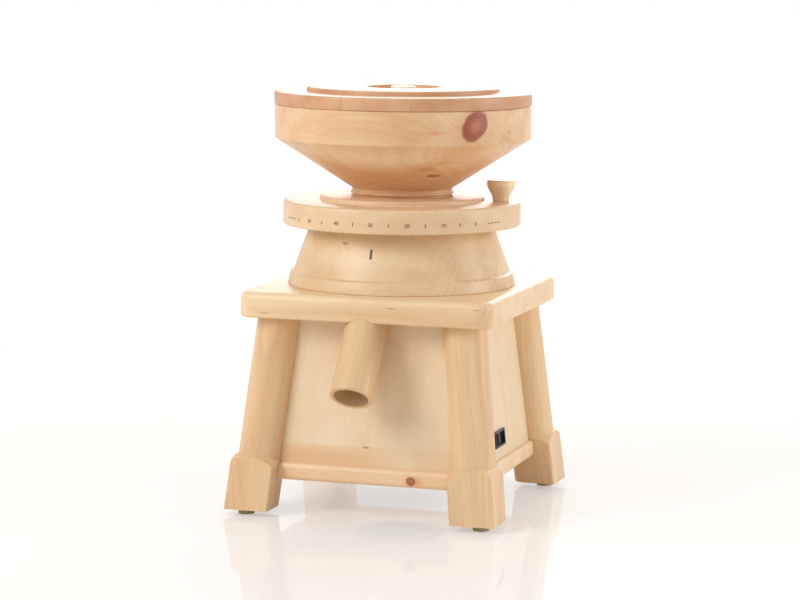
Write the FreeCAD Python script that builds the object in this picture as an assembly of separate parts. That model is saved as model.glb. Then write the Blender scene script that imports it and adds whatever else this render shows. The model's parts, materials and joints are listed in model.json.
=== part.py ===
"""Electric stone grain mill for the kitchen counter, in solid pine.

A square stand on four splayed legs holds a hanging motor behind four sloping panels. On the
stand's top board sits the turned mill housing with the two stones. The hopper, its dial and the
upper stone are one unit that screws into the housing, so turning the dial sets the stone gap.

Millimetres, +Z up, the spout towards -Y. Every piece is built about the mill's vertical axis and
then moved along Y, so that the origin ends up under the middle of the whole mill, on the table.
"""

import FreeCAD
import Part
import math
import os

from FreeCAD import Rotation, Vector

# ---------------------------------------------------------------- clearances
FIT = 0.05              # radial gap of a turned or pressed seat inside one assembly
JOINERY = 0.15          # gap round a wooden piece in its groove, notch or socket
THREAD_FIT = 0.05       # radial running gap of the adjusting thread, drawn plain
SLIDE_FIT = 0.5         # gap of a loose ring in its groove

# ---------------------------------------------------------------- stand
PAD_HEIGHT = 5.6
PAD_RADIUS = 7.5
PAD_OUTSET = 4.0        # pads sit this much further out than the leg's axis

BOARD_SIDE = 240.0
BOARD_BOTTOM = 183.0
BOARD_THICK = 23.5
BOARD_CORNER = 14.0
BOARD_EDGE = 6.5
BOARD_TOP = BOARD_BOTTOM + BOARD_THICK

SPLAY = 0.108           # sideways run of a leg or panel for each millimetre of height
LEG_INSET = 31.2        # leg axis to the board's side, at the board's underside
LEG_RADIUS = 20.0
FOOT_SIDE = 2 * LEG_RADIUS + 2.0
FOOT_SHOULDER = 54.0    # height where the shaft meets the foot block's cone
FOOT_CONE_DROP = 8.5    # fall of the cone from the shaft to the block's corners
FOOT_INNER_ROUND = 13.0
FOOT_ARRIS = 1.2
TENON_RADIUS = 9.0
TENON_LENGTH = 16.0
LEG_OFFSET = BOARD_SIDE / 2 - LEG_INSET

BASE_BOTTOM = 32.6
BASE_THICK = 15.9
BASE_REACH = 5.374      # side of the base board beyond the leg's axis, level with its top
BASE_EDGE = 4.0
BASE_TOP = BASE_BOTTOM + BASE_THICK
BASE_SIDE = 2 * (LEG_OFFSET + SPLAY * (BOARD_BOTTOM - BASE_TOP) + BASE_REACH)
BASE_DOWEL_RADIUS = 4.0
BASE_DOWEL_LENGTH = 30.0

PANEL_LEDGE = 5.0       # ledge of the base board in front of a panel
PANEL_THICK = 9.0       # measured level
PANEL_IN_LEG = 0.3 * LEG_RADIUS     # depth of the panel's edge in its groove
PANEL_TOP_GAP = 0.5

VENT_HOLE_RADIUS = 36.0
GRILLE_RADIUS = 42.0
GRILLE_THICK = 2.0
GRILLE_SLOTS = 7
GRILLE_SLOT_WIDTH = 4.5
GRILLE_SLOT_PITCH = 8.6
GRILLE_SCREW_CIRCLE = 39.0
BASE_SCREW = (10.0, 1.5, 2.8, 1.4)      # length, shank radius, head radius, head height

# ---------------------------------------------------------------- stones
STONE_RADIUS = 55.0
STONE_EYE = 15.0
LOWER_STONE_THICK = 12.5
UPPER_STONE_THICK = 15.0
STONE_GAP = 0.85            # at the setting drawn, between middle and coarse
STONE_LIP = 5.0             # carrier and holder beyond the stones
HOLDER_RADIUS = STONE_RADIUS + STONE_LIP - THREAD_FIT
CARRIER_LIFT = 2.0          # disc above the chamber's floor
CARRIER_THICK = 4.0
CARRIER_RADIUS = STONE_RADIUS + STONE_LIP
CARRIER_HUB = 12.9
PADDLES = 4
PADDLE_CLEARANCE = 10.0     # paddle tips to the chamber's wall at its floor
PADDLE_THICK = 3.5
PADDLE_HEIGHT = 7.0

# ---------------------------------------------------------------- mill housing
MOUTH_GAP = 2.0             # round the holder, above the threaded ring
HOUSING_MOUTH = CARRIER_RADIUS + MOUTH_GAP
THREAD_RING_WIDTH = 14.0    # seat of the threaded ring beyond the mouth
THREAD_RING_SEAT = HOUSING_MOUTH + THREAD_RING_WIDTH
THREAD_RING_BOTTOM = 29.5   # above the board's top
THREAD_RING_HEIGHT = 14.0
THREAD_RING_LAND = 4.0      # wood round the threaded ring's seat
CHAMBER_TOP_RADIUS = THREAD_RING_SEAT + THREAD_RING_LAND
CHAMBER_FLARE = 12.0
CHAMBER_RADIUS = CHAMBER_TOP_RADIUS + CHAMBER_FLARE
SPRING_GROOVE_LAND = 5.0    # wood on each side of the spring's groove
SPRING_GROOVE_WIDTH = 14.0
SPRING_GROOVE_INNER = HOUSING_MOUTH + SPRING_GROOVE_LAND
SPRING_GROOVE_OUTER = SPRING_GROOVE_INNER + SPRING_GROOVE_WIDTH
SPRING_GROOVE_DEPTH = 6.5
FRICTION_RING_HEIGHT = 3.6
HOUSING_HEIGHT = 55.0
HOUSING_TOP = BOARD_TOP + HOUSING_HEIGHT
HOUSING_TOP_RADIUS = SPRING_GROOVE_OUTER + SPRING_GROOVE_LAND
HOUSING_FLARE = 15.4
HOUSING_FOOT_RADIUS = HOUSING_TOP_RADIUS + HOUSING_FLARE
HOUSING_FOOT_HEIGHT = 12.6
PLINTH_STEP = 2.8           # each of the plinth's two small widenings
PLINTH_HEIGHT = 11.0
PLINTH_RADIUS = HOUSING_FOOT_RADIUS + PLINTH_STEP
HOUSING_BASE_RADIUS = PLINTH_RADIUS + PLINTH_STEP
HOUSING_SCREW_CIRCLE = CHAMBER_RADIUS + 4.5
INDEX_HEIGHT = 36.0         # middle of the index mark above the board's top
PADDLE_REACH = CHAMBER_RADIUS - PADDLE_CLEARANCE
CARRIER_BOTTOM = BOARD_TOP + CARRIER_LIFT
LOWER_STONE_BOTTOM = CARRIER_BOTTOM + CARRIER_THICK
LOWER_STONE_TOP = LOWER_STONE_BOTTOM + LOWER_STONE_THICK
UPPER_STONE_BOTTOM = LOWER_STONE_TOP + STONE_GAP
UPPER_STONE_TOP = UPPER_STONE_BOTTOM + UPPER_STONE_THICK

# ---------------------------------------------------------------- spout
SPOUT_RADIUS = 19.5
SPOUT_BORE = 16.0
SPOUT_LEAN = 37.0       # degrees from the vertical
SPOUT_LENGTH = 80.2     # along its axis, from the board's underside to the mouth
SPOUT_TOP_COVER = 9.5   # board left above the spout's socket
OUTLET_RADIUS = 14.0
OUTLET_INSET = 15.0     # middle of the outlet inside the chamber's wall
OUTLET_OUT = CHAMBER_RADIUS - OUTLET_INSET
SPOUT_STEP = 21.8       # the spout's axis in front of the outlet's, at the board's underside
SPOUT_AXIS_OUT = OUTLET_OUT + SPOUT_STEP

# ---------------------------------------------------------------- dial and hopper
DIAL_GAP = 1.2              # between the housing and the dial
DIAL_RADIUS = 111.0
DIAL_THICK = 22.5
DIAL_TOP_ROUND = 3.0
DIAL_BOTTOM_ROUND = 1.2
STEP_INSET = 34.0           # width of the dial's lower ledge
STEP_RADIUS = DIAL_RADIUS - STEP_INSET
STEP_HEIGHT = 4.5
FEED_RADIUS = 15.0
DIAL_BOTTOM = HOUSING_TOP + DIAL_GAP
DIAL_TOP = DIAL_BOTTOM + DIAL_THICK
STEP_TOP = DIAL_TOP + STEP_HEIGHT

KNOB_INSET = 18.0           # knob's axis inside the dial's edge
KNOB_CIRCLE = DIAL_RADIUS - KNOB_INSET
KNOB_ANGLE = 9.3            # degrees from +X
KNOB_FOOT_RADIUS = 7.6
KNOB_TOP_RADIUS = 13.2
KNOB_HEIGHT = 20.0

BOWL_RADIUS = 119.4
BOWL_WALL = 10.0
NECK_RADIUS = 46.8
NECK_HEIGHT = 6.9
CONE_HEIGHT = 46.6
RIM_HEIGHT = 31.0
BOWL_SPIGOT = 38.0
BOWL_SPIGOT_DEPTH = 8.5
CONE_BOTTOM = STEP_TOP + NECK_HEIGHT
RIM_BOTTOM = CONE_BOTTOM + CONE_HEIGHT
BOWL_TOP = RIM_BOTTOM + RIM_HEIGHT

LID_RADIUS = BOWL_RADIUS + 0.6
LID_THICK = 11.9
LID_LEDGE = 30.0
LID_STEP_RADIUS = LID_RADIUS - LID_LEDGE
LID_STEP_HEIGHT = 4.5
LID_SPIGOT_DEPTH = 8.0
LID_SPIGOT_GAP = 1.5
RECESS_RADIUS = 35.6
RECESS_DEPTH = 11.0
LID_KNOB_RADIUS = 12.0
LID_KNOB_STEM = 7.5
LID_TOP = BOWL_TOP + LID_THICK + LID_STEP_HEIGHT

# ---------------------------------------------------------------- motor
RUBBER_HEIGHT = 8.0
RUBBER_RADIUS = 9.0
RUBBER_SPACING = 96.0
PLATE_THICK = 4.0
PLATE_SIDE = 122.0
MOTOR_RADIUS = 56.0
SHELL_WALL = 3.0
COVER_THICK = 11.0
SHELL_LENGTH = 82.0
BOSS_HEIGHT = 5.0
STATOR_LENGTH = 56.0
AIR_GAP = 0.5
ROTOR_RADIUS = 29.8
WINDING_HEIGHT = 9.5
BEARING_BORE = 7.5
BEARING_RADIUS = 17.5
BEARING_WIDTH = 11.0
BALLS = 8
RACE_OUTER = 1.8            # thickness of a bearing's outer ring
RACE_INNER = 1.9
BALL_PLAY = 0.25
BALL_RADIUS = (BEARING_RADIUS - BEARING_BORE - RACE_OUTER - RACE_INNER) / 2 - BALL_PLAY
BOSS_RADIUS = BEARING_RADIUS + 4.5
SHAFT_SEAT = 9.0
SHAFT_STUD = 4.0
SEAL_BORE_RADIUS = 20.0
SEAL_HEIGHT = 8.0
SEAL_GAP = 0.5
FAN_RADIUS = 42.0
FAN_HEIGHT = 9.5
FAN_HUB = 12.0
FAN_BLADES = 8
PLATE_TOP = BOARD_BOTTOM - RUBBER_HEIGHT
PLATE_BOTTOM = PLATE_TOP - PLATE_THICK
SHELL_TOP = PLATE_BOTTOM - COVER_THICK
SHELL_BOTTOM = SHELL_TOP - SHELL_LENGTH
MOTOR_BOTTOM = SHELL_BOTTOM - COVER_THICK
CAPACITOR_RADIUS = 17.5
CAPACITOR_HEIGHT = 70.0
CAPACITOR_SPOT = (-66.0, 64.0)
CAPACITOR_TAG_LENGTH = 8.0
CAPACITOR_TAG_OUT = 6.0

# ---------------------------------------------------------------- switch and power inlet
SWITCH_FORWARD = 17.0       # middle of the switch in front of the mill's axis
SWITCH_HEIGHT = 67.0
SWITCH_FLANGE = (32.0, 15.5, 2.0)
SWITCH_BODY = (29.0, 13.0, 20.0)
SWITCH_WINDOW = (26.8, 11.6)
SWITCH_TAG_PITCH = 8.0
SWITCH_TAG_LENGTH = 7.0
ROCKER_SIZE = (25.0, 10.8)
ROCKER_TILT = 8.0           # degrees each way
ROCKER_DEPTH = 2.5          # pivot under the panel's face
PIVOT_RADIUS = 1.2
PIVOT_LENGTH = 12.4
INLET_HEIGHT = 74.0
INLET_FLANGE = (50.0, 24.0, 2.5)
INLET_BODY = (27.5, 20.0, 24.0)
INLET_POCKET = (23.5, 16.0, 16.5)
INLET_SCREW_SPACING = 40.0
INLET_PINS = ((-7.0, 2.0), (7.0, 2.0), (0.0, -2.0))
INLET_TAG_LENGTH = 8.0

# ---------------------------------------------------------------- wiring
LEAD_RADIUS = 1.3
LEAD_BEND = 0.45            # share of the shorter run that a bend takes
TERMINAL_GAP = 0.3

# ---------------------------------------------------------------- screws
MOUNT_SCREW = 3.0           # shank radius
HOUSING_SCREW_LENGTH = BOARD_THICK + 12.0
HOLDER_SCREW_LENGTH = 34.0
BOWL_SCREW_LENGTH = 24.0

LEG_SIGNS = {(-1, -1): "front_left", (1, -1): "front_right", (1, 1): "rear_right", (-1, 1): "rear_left"}
SIDES = ("front", "rear", "left", "right")
UP = Vector(0, 0, 1)
LEAN = math.degrees(math.atan(SPLAY))


# ---------------------------------------------------------------- helpers
def leg_axis(z):
    """Distance of a leg's axis from the mill's axis, along X and along Y, at height z."""
    return LEG_OFFSET + SPLAY * (BOARD_BOTTOM - z)


def panel_face(z):
    """Distance of a panel's outer face from the mill's axis at height z."""
    return BASE_SIDE / 2 - PANEL_LEDGE - SPLAY * (z - BASE_TOP)


def rod(radius, z0, z1, x=0.0, y=0.0):
    return Part.makeCylinder(radius, z1 - z0, Vector(x, y, z0))


def ring(outer, inner, z0, z1, x=0.0, y=0.0):
    return rod(outer, z0, z1, x, y).cut(rod(inner, z0 - 1, z1 + 1, x, y))


def block(x0, x1, y0, y1, z0, z1):
    return Part.makeBox(x1 - x0, y1 - y0, z1 - z0, Vector(x0, y0, z0))


def centred(width, depth, z0, z1):
    return block(-width / 2, width / 2, -depth / 2, depth / 2, z0, z1)


def turned(points):
    """Solid of revolution about Z from a closed outline of (radius, height) points."""
    outline = [Vector(r, 0, z) for r, z in points]
    face = Part.Face(Part.makePolygon(outline + outline[:1]))
    return face.revolve(Vector(0, 0, 0), UP, 360)


def round_rims(shape, radius, rims):
    """Round the circular edges that lie at the given (radius, height) places."""
    edges = []
    for edge in shape.Edges:
        if not isinstance(edge.Curve, Part.Circle):
            continue
        for r, z in rims:
            if abs(edge.Curve.Radius - r) < 0.01 and abs(edge.Curve.Center.z - z) < 0.01:
                edges.append(edge)
    return shape.makeFillet(radius, edges)


def upright_edges(shape, places, reach):
    """Edges of a straight block that stand upright near the given (x, y) places."""
    found = []
    for edge in shape.Edges:
        ends = [v.Point for v in edge.Vertexes]
        if len(ends) == 2 and abs(ends[0].x - ends[1].x) + abs(ends[0].y - ends[1].y) < 1e-6:
            if any(math.hypot(ends[0].x - x, ends[0].y - y) < reach for x, y in places):
                found.append(edge)
    return found


def level_edges(shape, height):
    """Edges that lie level at one height."""
    return [e for e in shape.Edges if all(abs(v.Z - height) < 1e-6 for v in e.Vertexes)]


def on_circle(radius, count, start=0.0):
    """Evenly spaced (x, y) places on a circle about the mill's axis."""
    turn = [math.radians(start + 360.0 * k / count) for k in range(count)]
    return [(radius * math.cos(a), radius * math.sin(a)) for a in turn]


def corners(spacing):
    half = spacing / 2
    return [(-half, -half), (half, -half), (half, half), (-half, half)]


def frustum(low, high, z0, z1):
    """Solid with flat sides between two level rectangles (x0, x1, y0, y1)."""
    def level(rect, z):
        x0, x1, y0, y1 = rect
        return [Vector(x0, y0, z), Vector(x1, y0, z), Vector(x1, y1, z), Vector(x0, y1, z)]

    a, b = level(low, z0), level(high, z1)
    faces = [Part.Face(Part.makePolygon(a + a[:1])), Part.Face(Part.makePolygon(b + b[:1]))]
    for k in range(4):
        n = (k + 1) % 4
        faces.append(Part.Face(Part.makePolygon([a[k], a[n], b[n], b[k], a[k]])))
    solid = Part.Solid(Part.Shell(faces))
    return solid if solid.Volume > 0 else solid.reversed()


def screw(length, shank, head, head_height):
    """Countersunk screw standing on its head's outer face, its tip up."""
    cone = Part.makeCone(head, shank, head_height)
    return cone.fuse(Part.makeCylinder(shank, length - head_height, Vector(0, 0, head_height)))


def pan_screw(length, shank, head, head_height):
    """Cheese-head screw with its tip up and the underside of its head at height 0."""
    return Part.makeCylinder(head, head_height, Vector(0, 0, -head_height)).fuse(
        Part.makeCylinder(shank, length))


def copies(shape, places, z):
    return [shape.translated(Vector(x, y, z)) for x, y in places]


def cut_all(shape, tools):
    return shape.cut(Part.makeCompound(tools)) if tools else shape


def group(solids):
    return Part.makeCompound(solids)


def panel_frame(side, along, height):
    """Placement of a fitting on a sloping panel: its own X runs level, +Z points outwards."""
    lean = math.radians(LEAN)
    out = {"right": Vector(1, 0, 0), "rear": Vector(0, 1, 0)}[side]
    normal = out * math.cos(lean) + UP * math.sin(lean)
    rise = UP * math.cos(lean) - out * math.sin(lean)
    across = rise.cross(normal)
    spot = out * panel_face(height) + out.cross(UP) * along + UP * height
    return FreeCAD.Placement(spot, Rotation(across, rise, normal, "ZXY"))


def panel_place(shape, side, along, height):
    placed = shape.copy()
    placed.Placement = panel_frame(side, along, height).multiply(placed.Placement)
    return placed


# ---------------------------------------------------------------- spout
def spout_line():
    """Mouth centre of the spout and its direction back up into the board."""
    lean = math.radians(SPOUT_LEAN)
    down = Vector(0, -math.sin(lean), -math.cos(lean))
    start = Vector(0, -SPOUT_AXIS_OUT, BOARD_BOTTOM)
    return start + down * SPOUT_LENGTH, down * -1


def spout_cylinder(radius, extra=0.0):
    mouth, up = spout_line()
    return Part.makeCylinder(radius, SPOUT_LENGTH + BOARD_THICK * 2 + extra, mouth - up * extra, up)


def spout_socket_top():
    return BOARD_TOP - SPOUT_TOP_COVER


def below(shape, z):
    """The part of a shape that lies under a level plane."""
    return shape.common(block(-300, 300, -300, 300, -50, z))


def spout_tube():
    tube = spout_cylinder(SPOUT_RADIUS).cut(spout_cylinder(SPOUT_BORE, 1.0))
    return below(tube, spout_socket_top() - FIT)


# ---------------------------------------------------------------- stand
def foot_square(grow=0.0):
    """The foot block's outline, as a block along the leg's own axis, inner corner towards -X -Y."""
    half = FOOT_SIDE / 2 + grow
    foot = block(-half, half, -half, half, -20, 90)
    foot = foot.makeFillet(FOOT_INNER_ROUND, upright_edges(foot, [(-half, -half)], 1))
    outer = [(half, -half), (half, half), (-half, half)]
    return foot.makeChamfer(FOOT_ARRIS, upright_edges(foot, outer, 1))


def place_leg(shape, sx, sy):
    """Tilt a shape on the leg's own axis (origin at table height) and move it to its corner."""
    if sx < 0:
        shape = shape.mirror(Vector(0, 0, 0), Vector(1, 0, 0))
    if sy < 0:
        shape = shape.mirror(Vector(0, 0, 0), Vector(0, 1, 0))
    axis = Vector(-sx * SPLAY, -sy * SPLAY, 1)
    placed = shape.copy()
    placed.Placement = FreeCAD.Placement(
        Vector(sx * leg_axis(0), sy * leg_axis(0), 0), Rotation(UP, axis)).multiply(placed.Placement)
    return placed


def leg(sx, sy):
    """One splayed leg turned from a square blank: tenon, round shaft and square foot."""
    corner = FOOT_SIDE / math.sqrt(2)
    cone_drop = FOOT_CONE_DROP
    envelope = turned([(0, -20), (corner + 1, -20), (corner + 1, FOOT_SHOULDER - cone_drop),
                       (LEG_RADIUS, FOOT_SHOULDER), (0, FOOT_SHOULDER)])
    foot = foot_square().common(envelope)
    slant = math.sqrt(1 + 2 * SPLAY ** 2)
    shaft = rod(LEG_RADIUS, 0, BOARD_BOTTOM * slant + 20)
    body = place_leg(shaft.fuse(foot), sx, sy)
    body = body.common(block(-200, 200, -200, 200, PAD_HEIGHT, BOARD_BOTTOM))
    tenon = rod(TENON_RADIUS, BOARD_BOTTOM * slant - 10, BOARD_BOTTOM * slant + TENON_LENGTH)
    body = body.fuse(place_leg(tenon, sx, sy)).removeSplitter()
    return cut_all(body, [panel(side, JOINERY) for side in SIDES] + [base_dowel(sx, sy, FIT)])


def tenon_socket(sx, sy):
    slant = math.sqrt(1 + 2 * SPLAY ** 2)
    top = BOARD_BOTTOM * slant + TENON_LENGTH + 2 * JOINERY
    return place_leg(rod(TENON_RADIUS + JOINERY, top - TENON_LENGTH - 20, top), sx, sy)


def base_dowel(sx, sy, grow=0.0):
    """Hidden dowel between a foot block and the base board, level and on the diagonal."""
    z = BASE_BOTTOM + BASE_THICK / 2
    inward = Vector(-sx, -sy, 0).normalize()
    corner = leg_axis(z) - FOOT_SIDE / 2 + FOOT_INNER_ROUND * (1 - math.sqrt(0.5))
    middle = Vector(sx * corner, sy * corner, z)
    length = BASE_DOWEL_LENGTH + 2 * grow
    return Part.makeCylinder(BASE_DOWEL_RADIUS + grow, length, middle - inward * (length / 2), inward)


def top_board():
    half = BOARD_SIDE / 2
    board = centred(BOARD_SIDE, BOARD_SIDE, BOARD_BOTTOM, BOARD_TOP)
    board = board.makeFillet(BOARD_CORNER, upright_edges(board, corners(2 * half), 1))
    board = board.makeFillet(BOARD_EDGE, level_edges(board, BOARD_TOP))
    board = board.makeFillet(2.0, level_edges(board, BOARD_BOTTOM))
    holes = [tenon_socket(sx, sy) for sx, sy in LEG_SIGNS]
    holes.append(below(spout_cylinder(SPOUT_RADIUS + JOINERY, 1.0), spout_socket_top()))
    holes.append(rod(OUTLET_RADIUS, spout_socket_top() - 1, BOARD_TOP + 1, 0, -OUTLET_OUT))
    holes.append(rod(SEAL_BORE_RADIUS, BOARD_BOTTOM - 1, BOARD_TOP + 1))
    holes += [rod(MOUNT_SCREW + FIT, BOARD_BOTTOM - 1, mount_bolt_top() + FIT, x, y)
              for x, y in corners(RUBBER_SPACING)]
    holes += copies(screw(HOUSING_SCREW_LENGTH + 0.2, 2.0 + FIT, 4.0 + FIT, 3.0),
                    housing_screw_places(), BOARD_BOTTOM)
    return cut_all(board, holes)


def base_board():
    board = centred(BASE_SIDE, BASE_SIDE, BASE_BOTTOM, BASE_TOP)
    board = board.makeFillet(BASE_EDGE, level_edges(board, BASE_TOP) + level_edges(board, BASE_BOTTOM))
    cuts = [rod(VENT_HOLE_RADIUS, BASE_BOTTOM - 1, BASE_TOP + 1)]
    for sx, sy in LEG_SIGNS:
        cuts.append(place_leg(foot_square(JOINERY), sx, sy))
        cuts.append(base_dowel(sx, sy, FIT))
    pilot = BASE_SCREW[1] + FIT
    cuts += [rod(pilot, BASE_BOTTOM - 1, BASE_BOTTOM + BASE_SCREW[0], x, y)
             for x, y in grille_screw_places()]
    cuts.append(rod(pilot, BASE_TOP + 2.0 - BASE_SCREW[0] - FIT, BASE_TOP + 1, *clip_screw_place()))
    board = cut_all(board, cuts)
    return max(board.Solids, key=lambda s: s.Volume)


def grille_screw_places():
    return on_circle(GRILLE_SCREW_CIRCLE, 4, 45)


def base_screws():
    """Four screws that hold the grille from below, and one like them for the capacitor's clip."""
    one = pan_screw(*BASE_SCREW)
    below_grille = copies(one, grille_screw_places(), BASE_BOTTOM - GRILLE_THICK - FIT)
    turned_over = one.rotated(Vector(0, 0, 0), Vector(1, 0, 0), 180)
    return group(below_grille + copies(turned_over, [clip_screw_place()], BASE_TOP + 2.0 + FIT))


def vent_grille():
    z0, z1 = BASE_BOTTOM - GRILLE_THICK, BASE_BOTTOM
    disc = round_rims(rod(GRILLE_RADIUS, z0, z1), 0.8, [(GRILLE_RADIUS, z0)])
    slots = []
    for k in range(GRILLE_SLOTS):
        x = (k - (GRILLE_SLOTS - 1) / 2) * GRILLE_SLOT_PITCH
        reach = math.sqrt((VENT_HOLE_RADIUS - 4.0) ** 2 - x ** 2)
        slot = block(x - GRILLE_SLOT_WIDTH / 2, x + GRILLE_SLOT_WIDTH / 2, -reach, reach, z0 - 1, z1 + 1)
        slots.append(slot)
    slots += [rod(BASE_SCREW[1] + FIT, z0 - 1, z1 + 1, x, y) for x, y in grille_screw_places()]
    return cut_all(disc, slots)


def foot_pads():
    spot = 2 * (leg_axis(0) + PAD_OUTSET)
    pad = round_rims(rod(PAD_RADIUS, 0, PAD_HEIGHT), 0.6, [(PAD_RADIUS, 0)])
    return group([pad.translated(Vector(x, y, 0)) for x, y in corners(spot)])


def panel(side, grow=0.0):
    """One sloping panel between two legs, before its own cut-outs."""
    z0, z1 = BASE_TOP - grow, BOARD_BOTTOM - PANEL_TOP_GAP + 10 * grow

    def rect(z):
        half = leg_axis(z) - math.sqrt(LEG_RADIUS ** 2 - PANEL_THICK ** 2) + PANEL_IN_LEG + grow
        out = panel_face(z) + grow
        inner = out - PANEL_THICK - 2 * grow
        return {"front": (-half, half, -out, -inner), "rear": (-half, half, inner, out),
                "left": (-out, -inner, -half, half), "right": (inner, out, -half, half)}[side]

    return frustum(rect(z0), rect(z1), z0, z1)


def front_panel():
    return panel("front").cut(spout_cylinder(SPOUT_RADIUS + 0.3, 1.0))


def right_panel():
    width, height, _ = SWITCH_BODY
    hole = centred(width + 2 * JOINERY, height + 2 * JOINERY, -2 * PANEL_THICK, PANEL_THICK)
    return panel("right").cut(panel_place(hole, "right", SWITCH_FORWARD, SWITCH_HEIGHT))


def rear_panel():
    width, height, _ = INLET_BODY
    hole = centred(width + 2 * JOINERY, height + 2 * JOINERY, -2 * PANEL_THICK, PANEL_THICK)
    holes = [panel_place(hole, "rear", 0, INLET_HEIGHT)]
    holes.append(panel_place(inlet_screw_pair(FIT), "rear", 0, INLET_HEIGHT))
    return cut_all(panel("rear"), holes)


# ---------------------------------------------------------------- mill housing
def housing_radius(height):
    """Outer radius of the housing's taper at a height above the board's top."""
    share = (height - HOUSING_FOOT_HEIGHT) / (HOUSING_HEIGHT - HOUSING_FOOT_HEIGHT)
    return HOUSING_FOOT_RADIUS + (HOUSING_TOP_RADIUS - HOUSING_FOOT_RADIUS) * share


def housing_screw_places():
    return on_circle(HOUSING_SCREW_CIRCLE, 4, 45)


def thread_ring_screw_places():
    return on_circle((HOUSING_MOUTH + THREAD_RING_SEAT) / 2 - 1, 4, 45)


def body_housing():
    """Turned wooden shell that forms the grinding chamber and carries the threaded ring."""
    b = BOARD_TOP
    seat_low, seat_high = b + THREAD_RING_BOTTOM, b + THREAD_RING_BOTTOM + THREAD_RING_HEIGHT
    shell = turned([
        (CHAMBER_RADIUS, b), (HOUSING_BASE_RADIUS, b), (PLINTH_RADIUS, b + PLINTH_HEIGHT),
        (HOUSING_FOOT_RADIUS, b + HOUSING_FOOT_HEIGHT), (HOUSING_TOP_RADIUS, HOUSING_TOP),
        (SPRING_GROOVE_OUTER, HOUSING_TOP), (SPRING_GROOVE_OUTER, HOUSING_TOP - SPRING_GROOVE_DEPTH),
        (SPRING_GROOVE_INNER, HOUSING_TOP - SPRING_GROOVE_DEPTH), (SPRING_GROOVE_INNER, HOUSING_TOP),
        (HOUSING_MOUTH, HOUSING_TOP), (HOUSING_MOUTH, seat_high), (THREAD_RING_SEAT, seat_high),
        (THREAD_RING_SEAT, seat_low), (CHAMBER_TOP_RADIUS, seat_low)])
    shell = round_rims(shell, 1.5, [(PLINTH_RADIUS, b + PLINTH_HEIGHT)])
    cuts = copies(screw(HOUSING_SCREW_LENGTH + 0.2, 2.0 + FIT, 4.0, 3.0),
                  housing_screw_places(), BOARD_BOTTOM)
    cuts += copies(screw(THREAD_RING_HEIGHT + 4.7, 1.6 + FIT, 3.2, 2.4),
                   thread_ring_screw_places(), seat_low)
    cuts.append(index_bar(FIT))
    return cut_all(shell, cuts)


def index_bar(grow=0.0):
    """Short upright inlay on the housing's front that the dial is read against."""
    fall = (HOUSING_FOOT_RADIUS - HOUSING_TOP_RADIUS) / (HOUSING_HEIGHT - HOUSING_FOOT_HEIGHT)
    bar = centred(1.8 + 2 * grow, 9.0 + 2 * grow, -4.0 - grow, 0.4)
    out = Vector(0, -1, 0)
    normal = (out + UP * fall).normalize()
    rise = (UP - out * fall).normalize()
    spot = out * housing_radius(INDEX_HEIGHT) + UP * (BOARD_TOP + INDEX_HEIGHT)
    bar.Placement = FreeCAD.Placement(spot, Rotation(rise.cross(normal), rise, normal, "ZXY"))
    return bar


def thread_ring():
    low = BOARD_TOP + THREAD_RING_BOTTOM
    shape = ring(THREAD_RING_SEAT - FIT, HOLDER_RADIUS + THREAD_FIT, low, low + THREAD_RING_HEIGHT - FIT)
    return cut_all(shape, copies(screw(THREAD_RING_HEIGHT + 4.7, 1.6 + FIT, 3.2 + FIT, 2.4),
                                 thread_ring_screw_places(), low))


def friction_ring():
    """Ring under the dial that the wave spring presses up, so that a setting doesn't creep."""
    top = DIAL_BOTTOM - 0.3
    return ring(SPRING_GROOVE_OUTER - SLIDE_FIT, SPRING_GROOVE_INNER + SLIDE_FIT,
                top - FRICTION_RING_HEIGHT, top)


def wave_spring():
    """Flat wave washer at its working height, drawn as the two turns that it stands for."""
    floor = HOUSING_TOP - SPRING_GROOVE_DEPTH + 0.05
    ceiling = DIAL_BOTTOM - 0.3 - FRICTION_RING_HEIGHT - 0.3
    outer, inner = SPRING_GROOVE_OUTER - 1.5, SPRING_GROOVE_INNER + 1.5
    low = ring(outer, inner, floor, floor + 0.6)
    high = ring(outer, inner, ceiling - 0.6, ceiling)
    posts = [block(x - 1.2, x + 1.2, y - 1.2, y + 1.2, floor + 0.3, ceiling - 0.3)
             for x, y in on_circle((outer + inner) / 2, 6, 30)]
    return low.fuse([high] + posts)


# ---------------------------------------------------------------- stones and spindle
def stone_carrier():
    """Disc and hub on the motor shaft, with paddles that sweep the flour to the outlet."""
    hub = rod(CARRIER_HUB, CARRIER_BOTTOM - 1.2, LOWER_STONE_TOP)
    disc = rod(CARRIER_RADIUS, CARRIER_BOTTOM, CARRIER_BOTTOM + CARRIER_THICK - FIT)
    paddles = []
    for k in range(PADDLES):
        paddle = block(STONE_RADIUS + 2.5, PADDLE_REACH, -PADDLE_THICK / 2, PADDLE_THICK / 2,
                       CARRIER_BOTTOM, CARRIER_BOTTOM + PADDLE_HEIGHT)
        paddles.append(paddle.rotated(Vector(0, 0, 0), UP, 360.0 * k / PADDLES + 20))
    body = disc.fuse([hub] + paddles)
    return body.cut(spindle(FIT))


def spindle(grow=0.0):
    """The shaft's upper end: journal, then the stud for the nut."""
    return turned([(0, BOARD_BOTTOM), (BEARING_BORE + grow, BOARD_BOTTOM),
                   (BEARING_BORE + grow, LOWER_STONE_TOP - 4 + grow),
                   (SHAFT_STUD + grow, LOWER_STONE_TOP - 4 + grow),
                   (SHAFT_STUD + grow, LOWER_STONE_TOP + 6), (0, LOWER_STONE_TOP + 6)])


def lower_stone():
    stone = ring(STONE_RADIUS, CARRIER_HUB + FIT, LOWER_STONE_BOTTOM, LOWER_STONE_TOP)
    return cut_all(stone, stone_furrows(LOWER_STONE_TOP, 1))


def upper_stone():
    stone = ring(STONE_RADIUS, STONE_EYE, UPPER_STONE_BOTTOM, UPPER_STONE_TOP)
    return cut_all(stone, stone_furrows(UPPER_STONE_BOTTOM, -1))


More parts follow.
